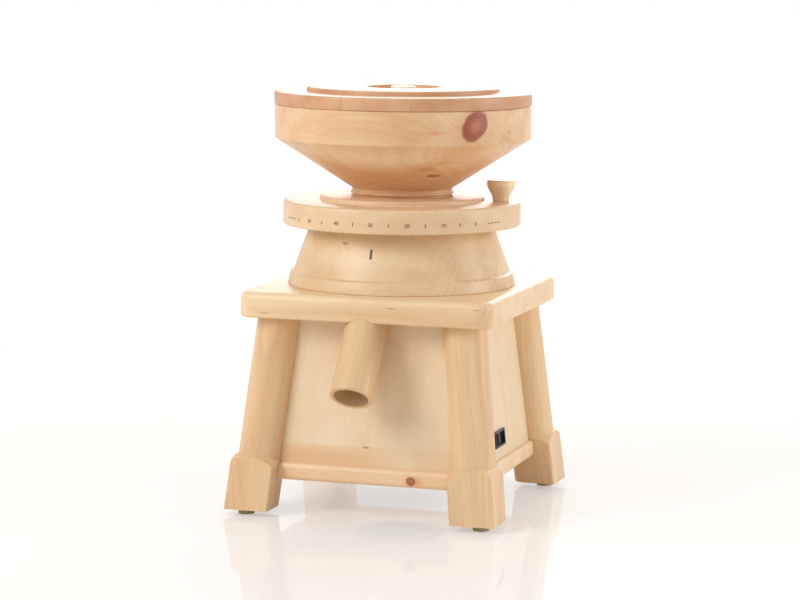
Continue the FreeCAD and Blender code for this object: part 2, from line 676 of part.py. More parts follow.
def stone_furrows(face, side):
    """Shallow straight furrows cut in a stone's working face, off the radius."""
    furrows = []
    for k in range(8):
        furrow = centred(2 * STONE_RADIUS, 5.0, -1.2, 1.2).translated(
            Vector(STONE_RADIUS + STONE_EYE - 4, side * 8.0, face))
        furrow = furrow.common(rod(STONE_RADIUS - 6, face - 2, face + 2))
        furrows.append(furrow.rotated(Vector(0, 0, 0), UP, 45.0 * k))
    return furrows


def spindle_nut():
    sides = [Vector(9.0 * math.cos(math.radians(60 * k)), 9.0 * math.sin(math.radians(60 * k)), 0)
             for k in range(6)]
    nut = Part.Face(Part.makePolygon(sides + sides[:1])).extrude(Vector(0, 0, 6.5))
    nut = nut.translated(Vector(0, 0, LOWER_STONE_TOP + 0.05))
    return nut.cut(rod(SHAFT_STUD + FIT, LOWER_STONE_TOP - 1, LOWER_STONE_TOP + 10))


# ---------------------------------------------------------------- dial unit
def holder_screw_places():
    return on_circle(STONE_RADIUS - STONE_LIP, 3, 90)


def bowl_screw_places():
    return on_circle(28.0, 3, 30)


def stone_holder():
    """Threaded collar under the dial, with the upper stone bonded to its lower face."""
    bottom = UPPER_STONE_TOP + FIT
    body = ring(HOLDER_RADIUS, FEED_RADIUS, bottom, DIAL_BOTTOM - FIT)
    return cut_all(body, copies(screw(HOLDER_SCREW_LENGTH, 2.0 + FIT, 4.0 + FIT, 3.0),
                                holder_screw_places(), bottom))


def dial():
    shape = turned([(0, DIAL_BOTTOM), (DIAL_RADIUS, DIAL_BOTTOM), (DIAL_RADIUS, DIAL_TOP),
                    (STEP_RADIUS, DIAL_TOP), (STEP_RADIUS, STEP_TOP), (0, STEP_TOP)])
    shape = round_rims(shape, DIAL_TOP_ROUND, [(DIAL_RADIUS, DIAL_TOP)])
    shape = round_rims(shape, DIAL_BOTTOM_ROUND, [(DIAL_RADIUS, DIAL_BOTTOM)])
    shape = round_rims(shape, STEP_HEIGHT * 0.6, [(STEP_RADIUS, STEP_TOP)])
    cuts = [rod(FEED_RADIUS, DIAL_BOTTOM - 1, STEP_TOP + 1),
            rod(BOWL_SPIGOT + FIT, STEP_TOP - BOWL_SPIGOT_DEPTH - FIT, STEP_TOP + 1)]
    cuts += copies(screw(HOLDER_SCREW_LENGTH + 0.2, 2.0 + FIT, 4.0, 3.0),
                   holder_screw_places(), UPPER_STONE_TOP + FIT)
    cuts += copies(screw(BOWL_SCREW_LENGTH + 0.2, 2.0 + FIT, 4.0 + FIT, 3.0),
                   bowl_screw_places(), DIAL_BOTTOM)
    x, y = knob_place()
    cuts.append(rod(2.0 + FIT, DIAL_BOTTOM - 1, DIAL_TOP + 1, x, y))
    cuts.append(rod(4.5, DIAL_BOTTOM - 1, DIAL_BOTTOM + 5, x, y))
    return cut_all(shape, cuts)


def knob_place():
    angle = math.radians(KNOB_ANGLE)
    return KNOB_CIRCLE * math.cos(angle), KNOB_CIRCLE * math.sin(angle)


def dial_knob():
    """Turned grip: a narrow foot that swells to a wider head."""
    r0, r1, h = KNOB_FOOT_RADIUS, KNOB_TOP_RADIUS, KNOB_HEIGHT
    neck = Vector(r0 + 1.0, 0, h * 0.3)
    swell = Vector(r1 - 0.6, 0, h * 0.62)
    points = [Vector(r0, 0, 0), neck, swell, Vector(r1, 0, h - 3.5), Vector(r1 - 0.9, 0, h - 0.8)]
    curve = Part.BSplineCurve()
    curve.interpolate(points)
    outline = [Part.LineSegment(Vector(0, 0, 0), points[0]).toShape(), curve.toShape(),
               Part.LineSegment(points[-1], Vector(r1 - 2.5, 0, h)).toShape(),
               Part.LineSegment(Vector(r1 - 2.5, 0, h), Vector(0, 0, h)).toShape(),
               Part.LineSegment(Vector(0, 0, h), Vector(0, 0, 0)).toShape()]
    shape = Part.Face(Part.Wire(outline)).revolve(Vector(0, 0, 0), UP, 360)
    x, y = knob_place()
    shape = shape.translated(Vector(x, y, DIAL_TOP + FIT))
    return shape.cut(rod(2.0 + FIT, DIAL_TOP - 1, DIAL_TOP + 12.2, x, y))


def knob_screw():
    x, y = knob_place()
    seat = DIAL_BOTTOM + 5
    return pan_screw(DIAL_TOP + 12 - seat, 2.0, 4.0, 2.6).translated(Vector(x, y, seat - FIT))


def hopper_bowl():
    """Turned bowl: neck with a bead, straight cone and upright rim, hollowed to the feed bore."""
    slope = (BOWL_RADIUS - NECK_RADIUS) / CONE_HEIGHT
    inner = BOWL_RADIUS - BOWL_WALL
    inner_foot = RIM_BOTTOM + 3.0 - (inner - FEED_RADIUS) / slope
    low = STEP_TOP - BOWL_SPIGOT_DEPTH
    shape = turned([
        (FEED_RADIUS, low), (BOWL_SPIGOT, low), (BOWL_SPIGOT, STEP_TOP + FIT),
        (NECK_RADIUS - 1.2, STEP_TOP + FIT), (NECK_RADIUS - 1.2, STEP_TOP + 1.9),
        (NECK_RADIUS + 1.0, STEP_TOP + 2.1), (NECK_RADIUS + 1.4, STEP_TOP + 3.1),
        (NECK_RADIUS + 1.0, STEP_TOP + 4.1), (NECK_RADIUS, STEP_TOP + 4.4),
        (NECK_RADIUS, CONE_BOTTOM), (BOWL_RADIUS, RIM_BOTTOM), (BOWL_RADIUS, BOWL_TOP),
        (inner, BOWL_TOP), (inner, RIM_BOTTOM + 3.0), (FEED_RADIUS, inner_foot)])
    shape = round_rims(shape, 1.0, [(BOWL_RADIUS, RIM_BOTTOM)])
    shape = round_rims(shape, 0.8, [(BOWL_RADIUS, BOWL_TOP), (inner, BOWL_TOP)])
    return cut_all(shape, copies(screw(BOWL_SCREW_LENGTH + 0.2, 2.0 + FIT, 4.0, 3.0),
                                 bowl_screw_places(), DIAL_BOTTOM))


# ---------------------------------------------------------------- lid
def lid_plan():
    top = LID_TOP
    return top - LID_STEP_HEIGHT, top, top - RECESS_DEPTH


def lid():
    """Two-step turned lid with a locating disc under it and a finger recess round its knob."""
    shoulder, top, recess = lid_plan()
    spigot = BOWL_RADIUS - BOWL_WALL - LID_SPIGOT_GAP
    shape = turned([(0, BOWL_TOP - LID_SPIGOT_DEPTH), (spigot, BOWL_TOP - LID_SPIGOT_DEPTH),
                    (spigot, BOWL_TOP + FIT), (LID_RADIUS, BOWL_TOP + FIT), (LID_RADIUS, shoulder),
                    (LID_STEP_RADIUS, shoulder), (LID_STEP_RADIUS, top), (RECESS_RADIUS, top),
                    (RECESS_RADIUS - 3.0, recess), (0, recess)])
    shape = round_rims(shape, 1.5, [(LID_RADIUS, shoulder), (LID_STEP_RADIUS, top), (RECESS_RADIUS, top)])
    shape = round_rims(shape, 0.8, [(LID_RADIUS, BOWL_TOP + FIT), (spigot, BOWL_TOP - LID_SPIGOT_DEPTH)])
    low = BOWL_TOP - LID_SPIGOT_DEPTH
    return shape.cut(screw(recess - low + 8.0, 2.0 + FIT, 4.0 + FIT, 3.0).translated(Vector(0, 0, low)))


def lid_knob():
    _, top, recess = lid_plan()
    low = recess + FIT
    shape = turned([(0, low), (LID_KNOB_STEM, low), (LID_KNOB_STEM - 1.0, low + 3.5),
                    (LID_KNOB_RADIUS, low + 6.5), (LID_KNOB_RADIUS, top + 0.4), (0, top + 1.4)])
    shape = round_rims(shape, 1.0, [(LID_KNOB_RADIUS, top + 0.4)])
    return shape.cut(rod(2.0 + FIT, recess - 1, recess + 8.2))


def lid_knob_screw():
    _, _, recess = lid_plan()
    low = BOWL_TOP - LID_SPIGOT_DEPTH
    return screw(recess - low + 8.0, 2.0, 4.0, 3.0).translated(Vector(0, 0, low))


# ---------------------------------------------------------------- motor
def mount_bolt_top():
    return BOARD_BOTTOM + 15.0


def motor_screw_places():
    return on_circle(44.0, 4, 0)


def motor_plate():
    plate = centred(PLATE_SIDE, PLATE_SIDE, PLATE_BOTTOM, PLATE_TOP)
    plate = plate.makeFillet(10.0, upright_edges(plate, corners(PLATE_SIDE), 1))
    holes = [rod(BEARING_BORE + 4.5, PLATE_BOTTOM - 1, PLATE_TOP + 1)]
    holes += [rod(MOUNT_SCREW + FIT, PLATE_BOTTOM - 1, PLATE_TOP + 1, x, y)
              for x, y in corners(RUBBER_SPACING)]
    holes += [rod(2.5 + FIT, PLATE_BOTTOM - 1, PLATE_TOP + 1, x, y) for x, y in motor_screw_places()]
    return cut_all(plate, holes)


def rubber_mounts():
    bush = ring(RUBBER_RADIUS, MOUNT_SCREW + FIT, PLATE_TOP + FIT, BOARD_BOTTOM - FIT)
    return group([bush.translated(Vector(x, y, 0)) for x, y in corners(RUBBER_SPACING)])


def mount_bolts():
    bolt = pan_screw(mount_bolt_top() - PLATE_BOTTOM, MOUNT_SCREW, 5.5, 3.5)
    return group(copies(bolt, corners(RUBBER_SPACING), PLATE_BOTTOM - FIT))


def motor_shell():
    return ring(MOTOR_RADIUS, MOTOR_RADIUS - SHELL_WALL, SHELL_BOTTOM + FIT, SHELL_TOP - FIT)


def motor_cover(top):
    """End cover with its bearing seat; the lower one is the upper one turned over."""
    outer_face = PLATE_BOTTOM if top else MOTOR_BOTTOM
    sign = -1 if top else 1
    inner_face = outer_face + sign * COVER_THICK
    boss_face = inner_face + sign * BOSS_HEIGHT
    seat = boss_face - sign * BEARING_WIDTH
    disc = rod(MOTOR_RADIUS, min(outer_face, inner_face) + FIT, max(outer_face, inner_face) - FIT)
    boss = rod(BOSS_RADIUS, min(inner_face, boss_face) - FIT, max(inner_face, boss_face) + FIT)
    pocket_low, pocket_high = (boss_face - 1, seat) if top else (seat, boss_face + 1)
    cuts = [rod(BEARING_RADIUS + FIT, pocket_low, pocket_high)]
    cuts.append(rod(SHAFT_SEAT + 1.0, min(outer_face, seat) - 1, max(outer_face, seat) + 1))
    for x, y in motor_screw_places():
        cuts.append(rod(2.5 + FIT, outer_face - 9, outer_face + 1, x, y) if top
                    else rod(2.5 + FIT, outer_face - 1, outer_face + 9, x, y))
    return cut_all(disc.fuse(boss), cuts)


def bearing_spans():
    """Lower and upper height of each bearing, the lower bearing first."""
    low = SHELL_BOTTOM + BOSS_HEIGHT - BEARING_WIDTH
    high = SHELL_TOP - BOSS_HEIGHT
    return [(low, low + BEARING_WIDTH), (high, high + BEARING_WIDTH)]


def bearing_outer_rings():
    return group([ring(BEARING_RADIUS, BEARING_RADIUS - RACE_OUTER, z0 + FIT, z1 - FIT)
                  for z0, z1 in bearing_spans()])


def bearing_inner_rings():
    return group([ring(BEARING_BORE + RACE_INNER, BEARING_BORE + FIT, z0 + FIT, z1 - FIT)
                  for z0, z1 in bearing_spans()])


def bearing_balls():
    track = (BEARING_BORE + RACE_INNER + BEARING_RADIUS - RACE_OUTER) / 2
    balls = []
    for z0, z1 in bearing_spans():
        balls += [Part.makeSphere(BALL_RADIUS, Vector(x, y, (z0 + z1) / 2))
                  for x, y in on_circle(track, BALLS)]
    return group(balls)


def stator_span():
    middle = (SHELL_BOTTOM + SHELL_TOP) / 2
    return middle - STATOR_LENGTH / 2, middle + STATOR_LENGTH / 2


def stator_core():
    z0, z1 = stator_span()
    return ring(MOTOR_RADIUS - SHELL_WALL - FIT, ROTOR_RADIUS + AIR_GAP, z0, z1)


def stator_windings():
    z0, z1 = stator_span()
    rings = []
    for low, high in ((z0 - WINDING_HEIGHT, z0 - FIT), (z1 + FIT, z1 + WINDING_HEIGHT)):
        coil = ring(49.0, 34.0, low, high)
        rings.append(round_rims(coil, 3.5, [(49.0, low), (49.0, high), (34.0, low), (34.0, high)]))
    return group(rings)


def rotor():
    z0, z1 = stator_span()
    return ring(ROTOR_RADIUS, SHAFT_SEAT + FIT, z0, z1)


def motor_shaft():
    (_, low), (high, _) = bearing_spans()
    return turned([
        (0, MOTOR_BOTTOM - FAN_HEIGHT - 2.5), (BEARING_BORE, MOTOR_BOTTOM - FAN_HEIGHT - 2.5),
        (BEARING_BORE, low), (SHAFT_SEAT, low), (SHAFT_SEAT, high), (BEARING_BORE, high),
        (BEARING_BORE, LOWER_STONE_TOP - 4), (SHAFT_STUD, LOWER_STONE_TOP - 4),
        (SHAFT_STUD, LOWER_STONE_TOP + 6), (0, LOWER_STONE_TOP + 6)])


def cooling_fan():
    top = MOTOR_BOTTOM - 1.5
    low = top - FAN_HEIGHT
    hub = rod(FAN_HUB, low, top)
    web = rod(FAN_RADIUS - 12, top - 1.6, top)
    blades = []
    for k in range(FAN_BLADES):
        blade = block(FAN_HUB - 1.5, FAN_RADIUS, -1.0, 1.0, low, top)
        blades.append(blade.rotated(Vector(0, 0, 0), UP, 360.0 * k / FAN_BLADES))
    return hub.fuse([web] + blades).cut(rod(BEARING_BORE + FIT, low - 1, top + 1))


def motor_screws():
    upper = pan_screw(PLATE_THICK + 8.0, 2.5, 4.2, 2.8).rotated(Vector(0, 0, 0), Vector(1, 0, 0), 180)
    lower = pan_screw(8.0, 2.5, 4.2, 1.2)
    return group(copies(upper, motor_screw_places(), PLATE_TOP + FIT)
                 + copies(lower, motor_screw_places(), MOTOR_BOTTOM))


def shaft_seal():
    top = BOARD_TOP - 0.4
    return ring(SEAL_BORE_RADIUS - FIT, BEARING_BORE + SEAL_GAP, top - SEAL_HEIGHT, top)


def capacitor():
    x, y = CAPACITOR_SPOT
    low = BASE_TOP + 2.0 + FIT
    can = rod(CAPACITOR_RADIUS, low, low + CAPACITOR_HEIGHT, x, y)
    can = round_rims(can, 2.0, [(CAPACITOR_RADIUS, low), (CAPACITOR_RADIUS, low + CAPACITOR_HEIGHT)])
    top = low + CAPACITOR_HEIGHT
    tags = [block(x + dx - 0.4, x + dx + 0.4, y - 3, y + 3, top - 1, top + CAPACITOR_TAG_LENGTH)
            for dx in (-CAPACITOR_TAG_OUT, CAPACITOR_TAG_OUT)]
    return can.fuse(tags)


def clip_screw_place():
    x, y = CAPACITOR_SPOT
    return x + CAPACITOR_RADIUS + 8, y


def capacitor_clip():
    x, y = CAPACITOR_SPOT
    cup = ring(CAPACITOR_RADIUS + 1.6, CAPACITOR_RADIUS + FIT, BASE_TOP, BASE_TOP + 22, x, y)
    floor = rod(CAPACITOR_RADIUS + 1.6, BASE_TOP, BASE_TOP + 2.0, x, y)
    foot = block(x, x + CAPACITOR_RADIUS + 14, y - 8, y + 8, BASE_TOP, BASE_TOP + 2.0)
    spot = clip_screw_place()
    foot = foot.cut(rod(BASE_SCREW[1] + FIT, BASE_TOP - 1, BASE_TOP + 3, *spot))
    return cup.fuse([floor, foot])


# ---------------------------------------------------------------- switch and power inlet
def switch_housing():
    fw, fh, ft = SWITCH_FLANGE
    bw, bh, bd = SWITCH_BODY
    ww, wh = SWITCH_WINDOW
    flange = centred(fw, fh, 0.02, ft)
    flange = flange.makeFillet(0.8, level_edges(flange, ft))
    body = centred(bw, bh, ft - bd, 0.5)
    cavity = centred(ww, wh, ft - 11.0, ft + 1)
    tags = [centred(5.0, 0.8, ft - bd - SWITCH_TAG_LENGTH, ft - bd + 1).translated(Vector(dx, 0, 0))
            for dx in (-SWITCH_TAG_PITCH, 0, SWITCH_TAG_PITCH)]
    shape = flange.fuse([body] + tags).cut(cavity)
    shape = shape.cut(rocker_pivot(FIT).translated(Vector(0, 0, -ROCKER_DEPTH)))
    return panel_place(shape, "right", SWITCH_FORWARD, SWITCH_HEIGHT)


def rocker_pivot(grow=0.0):
    """The rocker's two pivot pins as one rod across it, centred on its axis."""
    length = PIVOT_LENGTH + 2 * grow
    return Part.makeCylinder(PIVOT_RADIUS + grow, length, Vector(0, -length / 2, 0), Vector(0, 1, 0))


def switch_rocker():
    """Rocker at its off position, with one end pressed in."""
    length, width = ROCKER_SIZE
    half = length / 2
    crest, end, floor = 5.2, 3.6, -3.0
    outline = [Vector(-half, 0, end), Vector(0, 0, crest - 2.4), Vector(half, 0, end),
               Vector(half - 1.2, 0, floor + 2), Vector(4, 0, floor), Vector(-4, 0, floor),
               Vector(-half + 1.2, 0, floor + 2)]
    face = Part.Face(Part.makePolygon(outline + outline[:1]))
    shape = face.extrude(Vector(0, width, 0)).translated(Vector(0, -width / 2, 0)).fuse(rocker_pivot())
    shape = shape.rotated(Vector(0, 0, 0), Vector(0, 1, 0), ROCKER_TILT)
    shape = shape.translated(Vector(0, 0, -ROCKER_DEPTH))
    return panel_place(shape, "right", SWITCH_FORWARD, SWITCH_HEIGHT)


def inlet_screw_pair(grow=0.0):
    thick = INLET_FLANGE[2]
    one = screw(PANEL_THICK + thick - 1.0, 1.5 + grow, 3.0 + grow, 1.8)
    one = one.rotated(Vector(0, 0, 0), Vector(1, 0, 0), 180)
    half = INLET_SCREW_SPACING / 2
    return group([one.translated(Vector(dx, 0, thick)) for dx in (-half, half)])


def power_inlet():
    fw, fh, ft = INLET_FLANGE
    bw, bh, bd = INLET_BODY
    pw, ph, pd = INLET_POCKET
    flange = centred(fw, fh, 0.02, ft)
    flange = flange.makeFillet(5.0, upright_edges(flange, corners(1), 40))
    body = centred(bw, bh, ft - bd, 0.5)
    pocket = centred(pw, ph, ft - pd, ft + 1)
    key = [(-pw / 2, -ph / 2), (pw / 2, -ph / 2)]
    pocket = pocket.makeChamfer(4.5, upright_edges(pocket, key, 1))
    shape = flange.fuse(body).cut(pocket)
    shape = cut_all(shape, [inlet_screw_pair(FIT), inlet_pin_set(FIT)])
    return panel_place(shape, "rear", 0, INLET_HEIGHT)


def inlet_pin_set(grow=0.0):
    ft, bd, pd = INLET_FLANGE[2], INLET_BODY[2], INLET_POCKET[2]
    low, high = ft - bd - INLET_TAG_LENGTH, ft - pd + 13
    pins = []
    for x, y in INLET_PINS:
        pins.append(block(x - 1 - grow, x + 1 + grow, y - 2 - grow, y + 2 + grow, low, high))
    return group(pins)


# ---------------------------------------------------------------- wiring
def lead(points):
    """Insulated lead: straight runs joined by tangent arcs."""
    edges = []
    start = points[0]
    for before, corner, after in zip(points, points[1:], points[2:]):
        back, ahead = before - corner, after - corner
        reach = LEAD_BEND * min(back.Length, ahead.Length)
        back, ahead = back.normalize(), ahead.normalize()
        half_open = back.getAngle(ahead) / 2
        middle = (back + ahead).normalize()
        radius = reach * math.tan(half_open)
        enter, leave = corner + back * reach, corner + ahead * reach
        crest = corner + middle * (radius / math.sin(half_open) - radius)
        edges.append(Part.LineSegment(start, enter).toShape())
        edges.append(Part.Arc(enter, crest, leave).toShape())
        start = leave
    edges.append(Part.LineSegment(start, points[-1]).toShape())
    path = Part.Wire(edges)
    rim = Part.Wire([Part.Circle(points[0], points[1] - points[0], LEAD_RADIUS).toShape()])
    tube = path.makePipeShell([rim], True, True)
    return tube if tube.Volume > 0 else tube.reversed()


def inlet_tag(index, inward=0.0):
    x, y = INLET_PINS[index]
    depth = INLET_FLANGE[2] - INLET_BODY[2] - INLET_TAG_LENGTH - TERMINAL_GAP - inward
    return panel_frame("rear", 0, INLET_HEIGHT).multVec(Vector(x, y, depth))


def switch_tag(step, inward=0.0):
    depth = SWITCH_FLANGE[2] - SWITCH_BODY[2] - SWITCH_TAG_LENGTH - TERMINAL_GAP - inward
    place = panel_frame("right", SWITCH_FORWARD, SWITCH_HEIGHT)
    return place.multVec(Vector(step * SWITCH_TAG_PITCH, 0, depth))


def capacitor_tag(side, upward=0.0):
    x, y = CAPACITOR_SPOT
    top = BASE_TOP + 2.0 + FIT + CAPACITOR_HEIGHT + CAPACITOR_TAG_LENGTH
    return Vector(x + side * CAPACITOR_TAG_OUT, y, top + TERMINAL_GAP + upward)


def motor_entry(degrees, z, out=0.0):
    """Where a lead meets the motor's side."""
    angle, reach = math.radians(degrees), MOTOR_RADIUS + TERMINAL_GAP + out
    return Vector(reach * math.cos(angle), reach * math.sin(angle), z)


def wiring():
    """Leads from the inlet by way of the switch to the motor, and from the capacitor to the motor."""
    live = [inlet_tag(0), inlet_tag(0, 7), Vector(24, 66, 62), Vector(50, 55, 58), Vector(67, 30, 58),
            Vector(69, 6, 60), switch_tag(1, 8), switch_tag(1)]
    switched = [switch_tag(0), switch_tag(0, 8), Vector(67, -18, 80), motor_entry(-16, 96, 9),
                motor_entry(-16, 96)]
    neutral = [inlet_tag(1), inlet_tag(1, 7), motor_entry(100, 97, 9), motor_entry(100, 97)]
    earth = [inlet_tag(2), inlet_tag(2, 3), motor_entry(90, 72.5, 3), motor_entry(90, 72.5)]
    run = [capacitor_tag(1), capacitor_tag(1, 10), Vector(-50, 55, 143), motor_entry(131, 136, 9),
           motor_entry(131, 136)]
    start = [capacitor_tag(-1), capacitor_tag(-1, 12), Vector(-58, 50, 147), motor_entry(141, 141, 9),
             motor_entry(141, 141)]
    return group([lead(points) for points in (live, switched, neutral, earth, run, start)])


# ---------------------------------------------------------------- write the parts
def frame_shift():
    """Move along Y that puts the origin midway between the spout's lip and the rear feet."""
    mouth, _ = spout_line()
    front = -mouth.y + SPOUT_RADIUS * math.cos(math.radians(SPOUT_LEAN))
    back = leg_axis(PAD_HEIGHT) + FOOT_SIDE / 2 * math.sqrt(1 + SPLAY ** 2)
    return (front - back) / 2


def save(name, shape, shift):
    moved = shape.translated(Vector(0, shift, 0))
    if not moved.isValid() or not moved.Solids:
        raise ValueError(f"{name} is not a sound solid")
    moved.exportStep(os.path.join("parts", f"{name}.step"))


def build():
    pieces = {
        "top_board": top_board(),
        "bottom_board": base_board(),
        "bottom_board_dowels": group([base_dowel(sx, sy) for sx, sy in LEG_SIGNS]),
        "front_panel": front_panel(),
        "rear_panel": rear_panel(),
        "left_panel": panel("left"),
        "right_panel": right_panel(),
        "vent_grille": vent_grille(),
        "base_screws": base_screws(),
        "foot_pads": foot_pads(),
        "body_housing": body_housing(),
        "housing_screws": group(copies(screw(HOUSING_SCREW_LENGTH, 2.0, 4.0, 3.0),
                                       housing_screw_places(), BOARD_BOTTOM)),
        "thread_ring": thread_ring(),
        "thread_ring_screws": group(copies(screw(THREAD_RING_HEIGHT + 4.5, 1.6, 3.2, 2.4),
                                           thread_ring_screw_places(),
                                           BOARD_TOP + THREAD_RING_BOTTOM)),
        "index_mark": index_bar(),
        "spout_tube": spout_tube(),
        "motor_plate": motor_plate(),
        "rubber_mounts": rubber_mounts(),
        "mount_bolts": mount_bolts(),
        "motor_shell": motor_shell(),
        "motor_top_cover": motor_cover(True),
        "motor_bottom_cover": motor_cover(False),
        "motor_screws": motor_screws(),
        "stator_core": stator_core(),
        "stator_windings": stator_windings(),
        "bearing_outer_rings": bearing_outer_rings(),
        "shaft_seal": shaft_seal(),
        "capacitor": capacitor(),
        "capacitor_clip": capacitor_clip(),
        "switch_housing": switch_housing(),
        "power_inlet": power_inlet(),
        "inlet_pins": panel_place(inlet_pin_set(), "rear", 0, INLET_HEIGHT),
        "inlet_screws": panel_place(inlet_screw_pair(), "rear", 0, INLET_HEIGHT),
        "motor_shaft": motor_shaft(),
        "rotor": rotor(),
        "bearing_inner_rings": bearing_inner_rings(),
        "bearing_balls": bearing_balls(),
        "cooling_fan": cooling_fan(),
        "stone_carrier": stone_carrier(),
        "lower_stone": lower_stone(),
        "spindle_nut": spindle_nut(),
        "friction_ring": friction_ring(),
        "wave_spring": wave_spring(),
        "dial": dial(),
        "stone_holder": stone_holder(),
        "holder_screws": group(copies(screw(HOLDER_SCREW_LENGTH, 2.0, 4.0, 3.0),
                                      holder_screw_places(), UPPER_STONE_TOP + FIT)),
        "upper_stone": upper_stone(),
        "hopper_bowl": hopper_bowl(),
        "bowl_screws": group(copies(screw(BOWL_SCREW_LENGTH, 2.0, 4.0, 3.0),
                                    bowl_screw_places(), DIAL_BOTTOM)),
        "dial_knob": dial_knob(),
        "knob_screw": knob_screw(),
        "lid": lid(),
        "lid_knob": lid_knob(),
        "lid_knob_screw": lid_knob_screw(),
        "switch_rocker": switch_rocker(),
        "wiring": wiring(),
    }
    for (sx, sy), corner in LEG_SIGNS.items():
        pieces["leg_" + corner] = leg(sx, sy)
    return pieces


def main():
    os.makedirs("parts", exist_ok=True)
    shift = frame_shift()
    pieces = build()
    for name, shape in pieces.items():
        save(name, shape, shift)
    print(f"{len(pieces)} parts; mill axis at y = {shift:.3f} mm; lid top at z = {LID_TOP:.2f} mm")


if __name__ == "__main__":
    main()
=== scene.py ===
"""Stone grain mill in oiled stone pine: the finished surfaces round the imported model.

Sizes are in millimetres about the mill's own axis. A finished mesh is scaled to metres and moved to
that axis in the shared frame, and its object stays at the origin, unturned and unscaled.
"""

import json
import logging
import math
from collections.abc import Iterable, Sequence
from dataclasses import dataclass, field, replace
from enum import Enum

import bmesh
import bpy
from mathutils import Matrix, Vector


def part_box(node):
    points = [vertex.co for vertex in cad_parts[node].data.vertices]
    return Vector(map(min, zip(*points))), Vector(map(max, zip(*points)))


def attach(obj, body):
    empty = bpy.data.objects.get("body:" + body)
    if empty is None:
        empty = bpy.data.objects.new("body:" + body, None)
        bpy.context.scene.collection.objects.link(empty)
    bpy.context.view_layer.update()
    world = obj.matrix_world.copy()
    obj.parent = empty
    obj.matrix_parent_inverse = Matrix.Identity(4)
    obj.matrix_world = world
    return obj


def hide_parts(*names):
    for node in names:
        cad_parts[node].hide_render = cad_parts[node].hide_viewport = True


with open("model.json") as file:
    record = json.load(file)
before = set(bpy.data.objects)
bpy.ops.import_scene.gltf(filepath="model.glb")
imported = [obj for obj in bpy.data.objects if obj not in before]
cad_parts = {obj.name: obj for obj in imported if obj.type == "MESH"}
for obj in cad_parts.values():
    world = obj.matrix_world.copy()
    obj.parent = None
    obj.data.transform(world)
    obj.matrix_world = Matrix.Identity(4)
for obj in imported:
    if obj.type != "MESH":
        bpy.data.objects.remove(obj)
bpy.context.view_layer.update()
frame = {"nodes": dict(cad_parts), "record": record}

Tree = bpy.types.NodeTree
Socket = bpy.types.NodeSocket
Material = bpy.types.Material
Shape = bmesh.types.BMesh
Pair = tuple[float, float]
Triple = tuple[float, float, float]

LOG = logging.getLogger("grain_mill")
MM = 0.001
TURN_STEPS = 192  # facets round a turned piece
SMALL_STEPS = 96  # facets round a knob
ARC_STEPS = 6  # straight pieces in a rounded corner
MERGE = 1e-4  # points nearer than this are one, millimetres
SMOOTH_ANGLE = math.radians(34)  # edges sharper than this stay crisp
SEAT_GAP = 0.05  # clearance between two faces that meet, millimetres
UP = Vector((0, 0, 1))

LOW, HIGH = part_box("dial")
AXIS = Vector((0, (LOW.y + HIGH.y) / 2, 0)) / MM  # the mill's axis in the shared frame


def extent(node: str) -> Triple:
    """Radius, lowest and highest level of a turned CAD node, in millimetres."""
    low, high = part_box(node)
    return (high.x - low.x) / 2 / MM, low.z / MM, high.z / MM


# ---------------------------------------------------------------- colours and nodes
def linear(code: str) -> tuple[float, float, float, float]:
    """Linear colour of an sRGB hex code.

    Args:
        code: six hex digits, with or without a leading #.

    Returns:
        Red, green, blue and an alpha of 1.
    """
    digits = code.lstrip("#")
    parts = [int(digits[k:k + 2], 16) / 255 for k in (0, 2, 4)]
    red, green, blue = (c / 12.92 if c <= 0.04045 else ((c + 0.055) / 1.055) ** 2.4 for c in parts)
    return red, green, blue, 1.0


def put(tree: Tree, kind: str, links: dict[int | str, object] | None = None, out: int | str = 0,
        stops: Sequence[tuple[float, str]] = (), **settings: object) -> Socket:
    """Add a shader node with its settings and links.

    Args:
        tree: node tree to add to.
        kind: node type without its ShaderNode prefix.
        links: input name or number to an output socket or a plain value.
        out: which output to give back.
        stops: a colour ramp's places and hex colours.
        settings: properties of the node.

    Returns:
        The chosen output socket.
    """
    node = tree.nodes.new("ShaderNode" + kind)
    for key, value in settings.items():
        setattr(node, key, value)
    for key, value in (links or {}).items():
        if isinstance(value, Socket):
            tree.links.new(value, node.inputs[key])
        else:
            node.inputs[key].default_value = value
    if stops:
        elements = node.color_ramp.elements
        while len(elements) < len(stops):
            elements.new(0.5)
        for element, (place, code) in zip(elements, stops):
            element.position = place
            element.color = linear(code)
    return node.outputs[out]


def maths(tree: Tree, operation: str, *values: Socket | float, **settings: object) -> Socket:
    """Math node on sockets or numbers."""
    return put(tree, "Math", dict(enumerate(values)), operation=operation, **settings)


def vectors(tree: Tree, operation: str, *values: Socket | Sequence[float]) -> Socket:
    """Vector Math node on sockets or constant vectors."""
    return put(tree, "VectorMath", dict(enumerate(values)), operation=operation)


def measure(tree: Tree, operation: str, *values: Socket | Sequence[float]) -> Socket:
    """Vector Math node whose result is a number, such as LENGTH."""
    return put(tree, "VectorMath", dict(enumerate(values)), out="Value", operation=operation)


def scaled(tree: Tree, vector: Socket | Sequence[float], factor: Socket | float) -> Socket:
    """Vector times a number."""
    return put(tree, "VectorMath", {0: vector, "Scale": factor}, operation="SCALE")


def remap(tree: Tree, value: Socket, start: float, stop: float, low: float, high: float,
          curve: str = "LINEAR") -> Socket:
    """Map Range node.

    Args:
        tree: node tree to add to.
        value: number to map.
        start: value that becomes low.
        stop: value that becomes high.
        low: result at the start and beyond it.
        high: result at the stop and beyond it.
        curve: the node's interpolation.

    Returns:
        The mapped number.
    """
    return put(tree, "MapRange", {"Value": value, 1: start, 2: stop, 3: low, 4: high},
               interpolation_type=curve)


